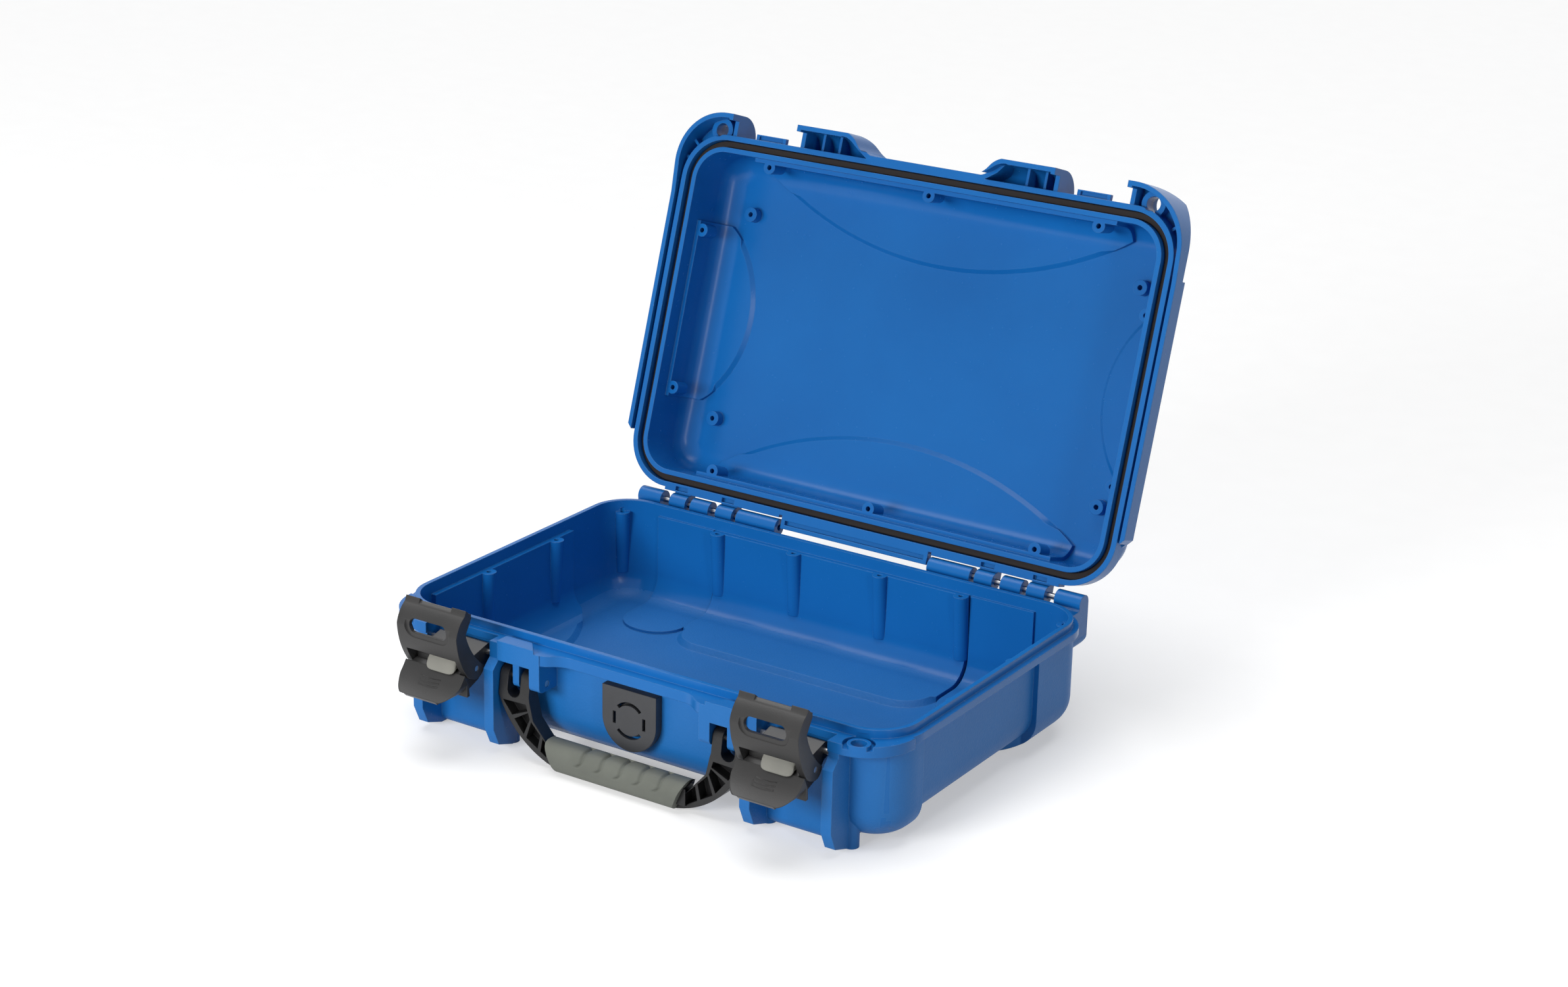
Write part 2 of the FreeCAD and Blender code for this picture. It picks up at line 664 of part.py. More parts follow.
def base_holes(ledge, half_x, half_y):
    holes = [rod("base_boss_hole_%d" % number, "z", place, boss_hole, ledge - boss_hole_deep, ledge + over)
             for number, (place, outward) in enumerate(boss_places(half_x, half_y))]
    padlock = (padlock_place, front - padlock_out)
    holes.append(rod("base_padlock_hole", "z", padlock, padlock_hole, flange_low - lobe_drop, base_tall))
    sink = flange_top - padlock_sink
    land = rod("base_padlock_land", "z", padlock, padlock_hole + padlock_land, sink - over, base_tall)
    holes.append(cut_away("base_padlock_sink", rod("base_padlock_dish", "z", padlock, padlock_ring + lid_clearance,
                                                   sink, flange_top + over), [land]))
    holes.append(rod("base_hinge_hole", "x", (hinge_y, hinge_z), hinge_pin_radius + press_gap,
                     base_knuckle_start - over, ear_end - shell_wall))
    holes.append(rod("base_lever_hole", "x", (lever_y, lever_z), latch_pin_radius + press_gap,
                     bay_inner - rib_thick + over, bay_outer + rib_thick - over))
    holes.append(rod("base_handle_hole", "x", (swing_y, swing_z), handle_pin_radius + press_gap,
                     bracket_inner - over, post_place + post_thick))
    return holes


def latch_bay():
    """Two upright ribs joined by an apron at the foot, and the padlock lobe, on the +X side."""
    profile = [(inside, flange_top), (front - rib_upper_reach, flange_top),
               (front - rib_upper_reach, base_tall - rib_step_drop + rib_reach - rib_upper_reach),
               (front - rib_reach, base_tall - rib_step_drop), (front - rib_reach, foot_tall + rib_foot_rise),
               (front - rib_foot_reach, foot_tall), (front - wall_out, apron_low), (inside, apron_low)]
    inner = prism("rib_inner", "x", profile, bay_inner - rib_thick, bay_inner)
    outer = prism("rib_outer", "x", profile, bay_outer, bay_outer + rib_thick)
    lobe_y = front - padlock_out - padlock_ring + over / 2
    bend_x = rim_x + skirt_reach - corner_lobe_round
    bend = rim_x + flange_reach - bend_x
    lobe = prism("padlock_lobe", "z", [
        (bay_outer, inside), (bay_outer, lobe_y), (bend_x, lobe_y, bend, 1),
        (rim_x + flange_reach, lobe_y + bend), (rim_x - rim_corner, lobe_y + bend)],
        flange_top - front_flange_thick, flange_top)
    face = front - wall_out
    root = front + bottom_round
    apron = prism("bay_apron", "x", [
        (root, apron_low), (root, wall_low), (face, wall_low), (face, apron_low + apron_round, apron_round, 1),
        (face + apron_round, apron_low)], bay_inner - over, bay_outer + over)
    return [inner, outer, lobe, apron]


def handle_bracket():
    """Hooded bracket with a cheek and a middle post, which carry the handle pin on the +X side."""
    face = front - bracket_reach
    rib_face = bay_inner - rib_thick
    hood = block("bracket_hood", (bracket_inner, rib_face), (face, inside), (flange_top - bracket_tall, flange_top))
    crest_start = bracket_inner + bracket_rise_clear
    crest_back = front - lid_flange_reach - parting_gap - parting_gap
    crest = prism("bracket_crest", "z", [
        (rib_face, crest_back), (crest_start + bracket_reach / 2, crest_back), (crest_start, face), (rib_face, face)],
        flange_top, flange_top + bracket_rise)
    bend = cheek_thick / 2
    cheek_low = base_tall - cheek_drop
    cheek = prism("bracket_cheek", "x", [
        (inside, flange_top), (face, flange_top), (face, cheek_low + bend, bend, 1), (face + bend, cheek_low),
        (inside, cheek_low)], bracket_inner, bracket_inner + cheek_thick)
    post_low = base_tall - post_drop
    post = prism("bracket_post", "x", [
        (inside, flange_top), (front - post_reach, flange_top), (front - post_reach, post_low + bend, bend, 1),
        (front - post_reach + bend, post_low), (inside, post_low)],
        post_place - post_thick / 2, post_place + post_thick / 2)
    return [hood, crest, cheek, post]


def front_band(name, gap, low, high):
    """Lip that sweeps from the middle of the front out to the handle bracket, on the +X side."""
    sill_face = front - front_flange_reach - gap
    face = front - bracket_reach - gap
    end_x = bracket_inner + cheek_thick / 2
    middle = ((swoop_inner + end_x) / 2, (sill_face + face) / 2)
    return prism(name, "z", [
        (swoop_inner - over, inside), (swoop_inner - over, sill_face), (swoop_inner, sill_face, swoop_radius, -1),
        (middle[0], middle[1], swoop_radius, 1), (end_x, face), (end_x, inside)], low, high)


def base_hinge():
    """Base knuckles and the deep ear at the case's corner, on the +X side."""
    top = flange_top
    lead = knuckle_radius + over / 2
    web = [(back, top), (hinge_y - lead, top), (hinge_y - knuckle_radius + over / 2, hinge_z - over / 2),
           (hinge_y, hinge_z - knuckle_radius), (back, hinge_z - knuckle_radius * 3)]
    ear_low = base_tall - ear_drop
    ear_y = hinge_y + knuckle_radius
    ear = [(back, top), (hinge_y - lead, top), (hinge_y - knuckle_radius + over / 2, hinge_z - over / 2),
           (hinge_y, hinge_z), (ear_y, hinge_z), (ear_y, ear_low + knuckle_radius, knuckle_radius * 2, -1),
           (hinge_y - knuckle_radius, ear_low), (back, ear_low)]
    parts = []
    for name, low, high in (("long", base_knuckle_start, base_knuckle_end),
                            ("middle", middle_knuckle_start, middle_knuckle_start + middle_knuckle_wide)):
        parts.append(prism("base_web_" + name, "x", web, low, high))
        parts.append(rod("base_knuckle_" + name, "x", (hinge_y, hinge_z), knuckle_radius, low, high))
    rounded_end = prism("base_ear_round", "y", [
        (ear_start, hinge_z), (ear_start, ear_low + ear_round, ear_round, 1), (ear_start + ear_round, ear_low),
        (ear_end - ear_round, ear_low, ear_round, 1), (ear_end, ear_low + ear_round), (ear_end, hinge_z)],
        back - over, ear_y + over)
    parts.append(shared("base_ear", [prism("base_ear_form", "x", ear, ear_start, ear_end), rounded_end]))
    parts.append(rod("base_knuckle_ear", "x", (hinge_y, hinge_z), knuckle_radius, ear_start, ear_end))
    return parts


def feet():
    """Round moulded feet near the wall line, two along each long wall of the +X half."""
    line = rim_y + wall_out - foot_inset
    return [rod("foot_%s_%s" % (word, place_word), "z", (place, way * line), foot_radius, 0, foot_tall + bottom_round)
            for word, way in (("front", -1), ("back", 1))
            for place_word, place in (("outer", foot_outer_place), ("inner", foot_inner_place))]


def lid_shell():
    half_x = rim_x - lip_inset + shell_wall
    half_y = rim_y - lip_inset + shell_wall
    corner = rim_corner - lip_inset + shell_wall
    low = flange_top + parting_gap
    high = base_tall + lid_tall
    flange_high = base_tall + lid_flange_tall
    outer = rounded_block("lid_outer", half_x, half_y, low, high, corner, lid_round, "high")
    inset = rounded_block("lid_inset", half_x - lid_lens_deep, half_y - lid_lens_deep, low, high - lid_lens_deep,
                          corner - lid_lens_deep, lid_round, "high")
    sides = both_sides("lid_side_lens", [
        side_lens("lid_side_lens_cut", half_x, lid_side_lens_half, 0, lid_side_lens_sag, flange_high, high + over)])
    ends = [end_lens("lid_lens_%s" % word, half_y, lid_end_lens_half, lid_end_lens_sag, flange_high, high + over, way)
            for word, way in (("back", 1), ("front", -1))]
    recess = cut_away("lid_recess", joined("lid_lenses", sides + ends), [inset])
    walls = cut_away("lid_walls", outer, [recess])
    flange = rounded_block("lid_flange", rim_x + lid_flange_reach, rim_y + lid_flange_reach, low, flange_high,
                           rim_corner + lid_flange_reach)
    sill = block("lid_sill", (-swoop_inner, swoop_inner), (front - front_flange_reach, inside), (low, flange_high))
    bar = block("lid_back_bar", (-back_bar_half, back_bar_half), (back, back + lid_flange_reach + back_bar_reach),
                (base_tall - hinge_drop, flange_high))
    lobes = joined("lid_lobes", [skirt(), corner_lobe(), handle_lobe()])
    clear = flange_reach + lid_clearance
    under = rounded_block("lid_under", rim_x + clear, rim_y + clear, low - lobe_drop - over, low, rim_corner + clear)
    rib_room = (front - rib_upper_reach - lid_clearance, inside)
    relief_z = (low - lobe_drop - over, low + lid_clearance)
    relief = [block("lid_relief_inner", (bay_inner - rib_thick - lid_clearance, bay_inner + over), rib_room, relief_z),
              block("lid_relief_outer", (bay_outer, bay_outer + rib_thick + lid_clearance), rib_room, relief_z)]
    relief.append(front_band("lid_band_room", lid_clearance, low - lobe_drop - over, low))
    trimmed = cut_away("lid_lobes_trimmed", lobes, [under] + relief)
    right, left = both_sides("lid_fittings", [trimmed, catch()] + lid_hinge())
    core = joined("lid_core", [walls, flange, sill, bar])
    solid = joined("lid_solid", [joined("lid_core_right", [core, right]), left])

    cavity_high = high - panel_thick
    cavity = rounded_block("lid_cavity", half_x - shell_wall, half_y - shell_wall, low - over - lobe_drop, cavity_high,
                           corner - shell_wall, lid_round - shell_wall, "high")
    raised = rounded_block("lid_raised", half_x - shell_wall - lid_lens_deep, half_y - shell_wall - lid_lens_deep,
                           low - over - lobe_drop, cavity_high - lid_lens_deep, corner - shell_wall - lid_lens_deep,
                           lid_round - shell_wall, "high")
    ledge = base_tall + lid_flange_tall
    pads = both_sides("lid_side_pad", [
        side_lens("lid_side_pad_form", half_x - shell_wall, lid_side_lens_half + shell_wall, 0, lid_side_lens_sag,
                  ledge, high)])
    pads += [end_lens("lid_pad_%s" % word, half_y - shell_wall, lid_end_lens_half + shell_wall, lid_end_lens_sag,
                      ledge, high, way) for word, way in (("back", 1), ("front", -1))]
    raised_pads = cut_away("lid_raised_pads", joined("lid_pads", pads), [raised])
    dish = cut_away("lid_dish", cavity, [raised_pads])
    groove_out = rounded_block("groove_outer", rim_x + groove_wide / 2, rim_y + groove_wide / 2, low - over,
                               base_tall + groove_deep, rim_corner + groove_wide / 2)
    groove_in = rounded_block("groove_inner", rim_x - groove_wide / 2, rim_y - groove_wide / 2, low - over - over,
                              base_tall + lid_flange_tall, rim_corner - groove_wide / 2)
    groove = cut_away("groove", groove_out, [groove_in])
    hollow = cut_away("lid_hollow", solid, [dish, groove])

    bosses = both_sides("lid_bosses", lid_bosses(ledge, half_x, half_y, cavity_high))
    zone = block("lid_boss_zone", (-half_x, half_x), (-half_y, half_y), (ledge, high - over / 2))
    clipped = shared("lid_bosses_clipped", [joined("lid_bosses_all", bosses), zone, walls])
    whole = joined("lid_whole", [hollow, clipped])
    holes = both_sides("lid_holes", lid_holes(ledge, half_x, half_y))
    return cut_away("lid_shell", whole, holes)


def lid_boss_places(half_x, half_y):
    wall_x = half_x - base_boss_inset
    wall_y = half_y - base_boss_inset
    places = [((lid_end_boss, way * wall_y), (0, way)) for way in (1, -1)]
    places += [((as_size(0), way * wall_y), (0, way)) for way in (1, -1)]
    places += [((wall_x, way * lid_side_boss), (1, 0)) for way in (1, -1)]
    return places


def lid_bosses(ledge, half_x, half_y, cavity_high):
    parts = [leaning_rod("lid_boss_%d" % number, place, outward, lid_boss_radius, ledge, cavity_high - lid_round)
             for number, (place, outward) in enumerate(lid_boss_places(half_x, half_y))]
    for number, way in enumerate((1, -1)):
        parts.append(rod("lid_standoff_%d" % number, "z", (standoff_long, way * standoff_wide), standoff_radius,
                         cavity_high - standoff_tall, cavity_high + over / 2))
    return parts


def lid_holes(ledge, half_x, half_y):
    holes = [rod("lid_boss_hole_%d" % number, "z", place, boss_hole, ledge - over, ledge + boss_hole_deep)
             for number, (place, outward) in enumerate(lid_boss_places(half_x, half_y))]
    standoff_low = base_tall + lid_tall - panel_thick - standoff_tall
    for number, way in enumerate((1, -1)):
        holes.append(rod("lid_standoff_hole_%d" % number, "z", (standoff_long, way * standoff_wide), boss_hole,
                         standoff_low - over, standoff_low + standoff_tall - over / 2))
    padlock = (padlock_place, front - padlock_out)
    holes.append(rod("lid_padlock_hole", "z", padlock, padlock_hole, base_tall - lobe_drop, base_tall + lobe_rise))
    holes.append(rod("lid_padlock_sink", "z", padlock, padlock_hole + padlock_land, base_tall + padlock_ring_tall,
                     base_tall + lobe_rise + over))
    holes.append(block("lid_sill_slot", (-over, base_knuckle_start - over - hinge_slot_wide),
                       (hinge_y - hinge_slot_wide - hinge_slot_wide, hinge_y - hinge_slot_wide),
                       (flange_top, flange_top + hinge_slot_deep)))
    for word, knuckle in (("inner", lid_knuckle_start), ("outer", outer_lid_knuckle_start)):
        middle = knuckle + lid_knuckle_wide / 2
        edge = hinge_y - knuckle_radius - hinge_lip_gap - hinge_lip_gap
        holes.append(block("lid_hinge_slot_" + word, (middle - hinge_slot_long / 2, middle + hinge_slot_long / 2),
                           (edge - hinge_slot_wide, edge), (flange_top, flange_top + hinge_slot_deep)))
    holes.append(rod("lid_hinge_hole", "x", (hinge_y, hinge_z), hinge_pin_radius + running_gap,
                     lid_knuckle_start - over, ear_start))
    return holes


def skirt():
    """Overhanging lip along the +X side: a web off the flange and a drop edge."""
    reach = rim_x + skirt_reach
    inner = rim_x + lid_flange_reach - over
    start = front + corner_lobe_round - over
    low = base_tall - skirt_drop
    high = base_tall + lid_flange_tall
    form = prism("skirt_form", "z", [(inner, start), (reach, start), (reach, skirt_back_end),
                                     (inner, skirt_back_end + skirt_taper)], low, high)
    room = block("skirt_room", (inner - over, reach - skirt_thick), (start - over, skirt_back_end + skirt_taper + over),
                 (low - over, high - skirt_thick))
    return cut_away("skirt", form, [room])


def corner_lobe():
    """Hollow bumper round the front corner, with a ring for the padlock hole and stiffening ribs."""
    start = latch_centre + corner_lobe_start
    face = front - lobe_reach
    reach = rim_x + skirt_reach
    bend = corner_lobe_round
    high = base_tall + lobe_rise
    low = base_tall - lobe_drop
    finish = front + bend
    form = prism("corner_lobe_form", "z", [
        (start, inside), (start, face), (reach - bend, face, bend, 1), (reach, face + bend), (reach, finish),
        (rim_x - rim_corner, finish)], low, high)
    cap = prism("corner_lobe_cap", "x", lobe_profile(as_size(0)), start - over, reach + over)
    slope = prism("corner_lobe_slope", "x", [
        (face - over, low - over), (face + skirt_thick, low - over), (face + skirt_thick, low),
        (finish, base_tall - skirt_drop), (finish + over, base_tall + high), (face - over, base_tall + high)],
        start - over, reach + over)
    crown = base_tall + lid_flange_tall
    side_round = prism("corner_lobe_side", "y", [
        (start - over, low - over), (reach, low - over), (reach, crown - lobe_straight),
        (rim_x - lip_inset, high), (start - over, high)], face - over, finish + over)
    thin = skirt_thick
    room_form = prism("corner_lobe_room_form", "z", [
        (start + thin, inside), (start + thin, face + thin), (reach - bend, face + thin, bend - thin, 1),
        (reach - thin, face + bend), (reach - thin, finish + over), (rim_x - rim_corner, finish + over)],
        low - over - over, crown)
    keep = rounded_block("corner_lobe_keep", rim_x + lid_flange_reach, rim_y + lid_flange_reach, low - over - over,
                         crown + over, rim_corner + lid_flange_reach)
    ring_boss = rod("padlock_ring", "z", (padlock_place, front - padlock_out), padlock_ring, base_tall, high)
    hub = (rim_x - rim_corner, front + rim_corner)
    ribs = [spoke("corner_lobe_rib_%d" % number, hub, math.radians(slant), lobe_rib_thick, lobe_reach * 4,
                  base_tall + parting_gap, high) for number, slant in enumerate((-22, -40))]
    room = cut_away("corner_lobe_room", room_form, [keep, ring_boss] + ribs)
    return cut_away("corner_lobe", shared("corner_lobe_body", [form, cap, slope, side_round]), [room])


def spoke(name, hub, angle, thick, long, low, high):
    """Upright rib that runs out from a hub at an angle from +X."""
    run, rise = math.cos(angle), math.sin(angle)
    near = (hub[0] - thick * (rise / 2), hub[1] + thick * (run / 2))
    far = (hub[0] + thick * (rise / 2), hub[1] - thick * (run / 2))
    return prism(name, "z", [far, (far[0] + long * run, far[1] + long * rise),
                             (near[0] + long * run, near[1] + long * rise), near], low, high)


def lobe_profile(thin):
    """Side profile of a front lobe: straight lip, then a round brow up to the lid's wall."""
    face = front - lobe_reach + thin
    brow = base_tall + lobe_straight
    high = base_tall + lobe_rise - thin
    root = front - lid_flange_reach
    drop = base_tall - lobe_drop - over
    wide = lobe_reach - lid_flange_reach - thin
    tall = lobe_rise - lobe_straight - thin
    radius = (wide * wide + tall * tall) / (2 * wide)
    return [(face, drop), (rim_x, drop), (rim_x, high), (root, high, radius, 1), (face, brow)]


def handle_lobe():
    """Hollow brow over the handle bracket that swoops back to the flange towards the middle."""
    face = front - lobe_reach
    sill_face = front - front_flange_reach
    low = base_tall - lobe_drop
    high = base_tall + lobe_rise
    middle_x = (handle_lobe_inner + swoop_inner) / 2
    middle_y = (face + sill_face) / 2
    form = prism("handle_lobe_form", "z", [
        (swoop_inner, inside), (swoop_inner, sill_face, swoop_radius, -1), (middle_x, middle_y, swoop_radius, 1),
        (handle_lobe_inner, face), (handle_lobe_outer, face), (handle_lobe_outer, inside)], low, high)
    cap = prism("handle_lobe_cap", "x", lobe_profile(as_size(0)), swoop_inner - over, handle_lobe_outer + over)
    thin = skirt_thick
    room_form = prism("handle_lobe_room_form", "z", [
        (swoop_inner + thin, front - lid_flange_reach), (middle_x + thin, middle_y + thin),
        (handle_lobe_inner, face + thin), (handle_lobe_outer - thin, face + thin),
        (handle_lobe_outer - thin, front - lid_flange_reach)], low - over, high)
    room_cap = prism("handle_lobe_room_cap", "x", lobe_profile(thin), swoop_inner, handle_lobe_outer)
    room = shared("handle_lobe_room", [room_form, room_cap])
    third = (handle_lobe_outer - handle_lobe_inner) / 3
    ribs = [block("handle_lobe_rib_%d" % number, (place - lobe_rib_thick / 2, place + lobe_rib_thick / 2),
                  (face, inside), (base_tall + lobe_straight, high))
            for number, place in enumerate((handle_lobe_inner + third, handle_lobe_outer - third))]
    cells = cut_away("handle_lobe_cells", room, ribs)
    return cut_away("handle_lobe", shared("handle_lobe_body", [form, cap]), [cells])


def catch():
    """Slotted bar under the lid's flange that the claw hooks over."""
    face = front - catch_reach
    low = base_tall - catch_drop
    bar = block("catch_bar", (latch_centre - catch_half, latch_centre + catch_half), (face, front),
                (low, base_tall + catch_rise))
    slot = block("catch_slot", (latch_centre - catch_half + over, latch_centre + catch_half - over),
                 (face + catch_drop / 2, front - lid_flange_reach - parting_gap), (low - over, low + catch_drop))
    return cut_away("catch", bar, [slot])


def lid_hinge():
    """Two lid knuckles on the +X side, each on a web off the flange, and the lip over the base's knuckles."""
    low = flange_top + parting_gap
    parts = [block("lid_hinge_lip", (base_knuckle_start, ear_start), (back, hinge_y - knuckle_radius - hinge_lip_gap),
                   (low, hinge_z + knuckle_radius)),
             block("lid_hinge_sill", (-over, base_knuckle_start - over), (back, hinge_y), (low, low + hinge_sill_tall))]
    for name, low in (("inner", lid_knuckle_start), ("outer", outer_lid_knuckle_start)):
        high = low + lid_knuckle_wide
        parts.append(block("lid_web_" + name, (low, high), (back, hinge_y), (hinge_z, hinge_z + knuckle_radius)))
        parts.append(rod("lid_knuckle_" + name, "x", (hinge_y, hinge_z), knuckle_radius, low, high))
    return parts


def gasket():
    body = new_body("lid_gasket")
    half = groove_wide / 2 - gasket_gap
    loops = []
    for way in (1, -1):
        reach = half * way
        loops.append(rounded_rectangle(-rim_x - reach, rim_x + reach, -rim_y - reach, rim_y + reach,
                                       rim_corner + reach))
    pad(body, "gasket_ring", "z", loops, base_tall + gasket_gap, base_tall + groove_deep)
    return body


def pin(label, place, radius, low, high):
    """Plain steel pin along X."""
    body = new_body(label)
    pad(body, label + "_round", "x", [ring(place[0], place[1], radius)], low, high)
    return body


def claw(label, centre):
    """Bowed claw: a front plate with two side flanges that end in eyes, a window and a notch."""
    body = new_body(label)
    half = latch_wide / 2
    low = (claw_y - claw_low_out, claw_z + claw_low_up)
    bulge = (claw_y - claw_bulge_out, claw_z + claw_bulge_up)
    top = (claw_y - claw_top_out, claw_z + claw_top_up)
    lip = (claw_y - claw_hook_in, claw_z + claw_hook_up)
    lower_bow = claw_bulge_up * 2
    upper_bow = claw_bulge_out
    deep = claw_flange_deep
    eye = claw_eye_radius
    side = [(low[0], low[1], lower_bow, -1), (bulge[0], bulge[1], upper_bow, -1), (top[0], top[1]),
            (lip[0], top[1] - claw_plate / 2), (lip[0], lip[1]),
            (bulge[0] + deep, bulge[1], lower_bow, 1),
            (claw_y + eye, claw_z, eye, -1), (claw_y, claw_z - eye, eye * 2, -1)]
    pad(body, label + "_side", "x", [side], centre - half, centre + half)
    inner = half - claw_arm_thick
    plate = claw_plate
    room = [(low[0] + plate, claw_z - eye - over), (low[0] + plate, low[1], lower_bow - plate, -1),
            (bulge[0] + plate, bulge[1], upper_bow - plate, -1), (top[0] + plate / 2, lip[1]),
            (claw_y + eye + over, lip[1]), (claw_y + eye + over, claw_z - eye - over)]
    pocket(body, label + "_room", "x", [room], centre - inner, centre + inner)
    window_low = claw_z + claw_window_up - claw_window_tall / 2
    window = rounded_rectangle(centre - claw_window_wide / 2, centre + claw_window_wide / 2, window_low,
                               window_low + claw_window_tall, claw_window_tall / 2 - parting_gap)
    pocket(body, label + "_window", "y", [window], claw_y - claw_bulge_out - over, claw_y)
    margin = claw_window_wide / 2 + claw_frame
    dish = rounded_rectangle(centre - margin, centre + margin, window_low - claw_frame,
                             window_low + claw_window_tall + claw_frame, claw_window_tall / 2 + claw_frame - parting_gap)
    pocket(body, label + "_frame", "y", [dish], claw_y - claw_bulge_out - over,
           claw_y - claw_bulge_out + claw_frame_deep)
    notch = rectangle(centre - inner + parting_gap, centre + inner - parting_gap, claw_z - eye - over,
                      claw_z + claw_notch_up)
    pocket(body, label + "_notch", "y", [notch], claw_y - claw_bulge_out - over, claw_y - eye)
    pocket(body, label + "_bore", "x", [ring(claw_y, claw_z, latch_pin_radius + running_gap)],
           centre - half - over, centre + half + over)
    lug = [(top[0] - claw_lug * 2, top[1] - claw_lug * 2), (top[0] + plate / 2, top[1] - claw_lug),
           (top[0] + plate / 3, top[1]), (top[0] - plate / 3, top[1] + claw_lug)]
    for word, low in (("right", centre + half - claw_lug_wide), ("left", centre - half)):
        pad(body, "%s_lug_%s" % (label, word), "x", [lug], low, low + claw_lug_wide)
    return body


def lever(label, centre):
    """Lever with two eyes, a hollow body and a wide finger paddle."""
    body = new_body(label)
    half = latch_wide / 2
    inner = half - claw_arm_thick - latch_side_gap
    root = (claw_y - paddle_root_out, claw_z - paddle_root_drop)
    tip = (root[0] - paddle_out, root[1] - paddle_drop)
    eye = lever_eye_radius
    belly = (lever_y - lever_belly_out, lever_z - lever_belly_drop)
    shelf = claw_y - slider_out + slider_thick + parting_gap
    profile = [(lever_y, lever_z + eye, eye, -1), (lever_y + eye, lever_z, eye, -1), (lever_y, lever_z - eye),
               (lever_y - lever_back_out, lever_z - lever_back_drop), (belly[0], belly[1]),
               (root[0], root[1] - paddle_thick), (root[0], root[1]),
               (shelf, claw_z), (shelf, claw_z + eye / 2), (claw_y - over, claw_z + eye)]
    pad(body, label + "_body", "x", [profile], centre - inner, centre + inner)
    run = paddle_thick * 0.7
    blade = [(root[0], root[1], paddle_dish, -1), (tip[0], tip[1]), (tip[0] + run, tip[1] - run),
             (belly[0], belly[1]), (root[0] + paddle_thick, root[1] - paddle_drop / 2)]
    pad(body, label + "_paddle", "x", [blade], centre - half, centre + half)
    bend = paddle_corner
    for word, way in (("right", 1), ("left", -1)):
        edge = centre + half * way
        shoulder = [(edge + over * way, tip[1] - bend), (edge + over * way, tip[1] + bend),
                    (edge + parting_gap * way, tip[1] + bend, bend + parting_gap, -way),
                    (edge - bend * way, tip[1] - parting_gap),
                    (edge - bend * way, tip[1] - bend)]
        pocket(body, "%s_corner_%s" % (label, word), "y", [shoulder], tip[0] - over, belly[0] - over)
    hollow = [(lever_y - eye - over, lever_z - lever_belly_drop), (belly[0] - over, belly[1] - over),
              (root[0], root[1] - paddle_drop / 2 - over), (root[0] + paddle_thick, root[1] - paddle_thick),
              (claw_y + over, claw_z - eye)]
    pocket(body, label + "_hollow", "x", [hollow], centre - inner + claw_arm_thick, centre + inner - claw_arm_thick)
    for word, place, gap in (("pivot", (lever_y, lever_z), running_gap), ("claw", (claw_y, claw_z), press_gap)):
        pocket(body, "%s_%s_bore" % (label, word), "x", [ring(place[0], place[1], latch_pin_radius + gap)],
               centre - half, centre + half)
    return body


def slider(label, centre):
    """Wedge-shaped lock slider on the root of the paddle."""
    body = new_body(label)
    right = centre + slider_right
    face = claw_y - slider_out
    low = claw_z + parting_gap
    fall = slider_lip * paddle_drop / paddle_out
    profile = [(face, low), (face + slider_thick, low), (face + slider_thick, low + slider_rise),
               (face + slider_thick / 2, low + slider_rise), (face - slider_thick / 4, low + slider_rise / 2),
               (face - slider_lip, low + slider_thick / 2 - fall), (face - slider_lip, low + parting_gap - fall)]
    pad(body, label + "_wedge", "x", [profile], right - slider_wide, right)
    return body


def between(first, second, share):
    """Point part of the way from one (u, v) point to another."""
    return (first[0] + (second[0] - first[0]) * share, first[1] + (second[1] - first[1]) * share)


grip_low = handle_floor_gap
grip_high = handle_floor_gap + grip_tall
grip_middle = front - grip_out
arm_cells = 4
rung_share = 0.1


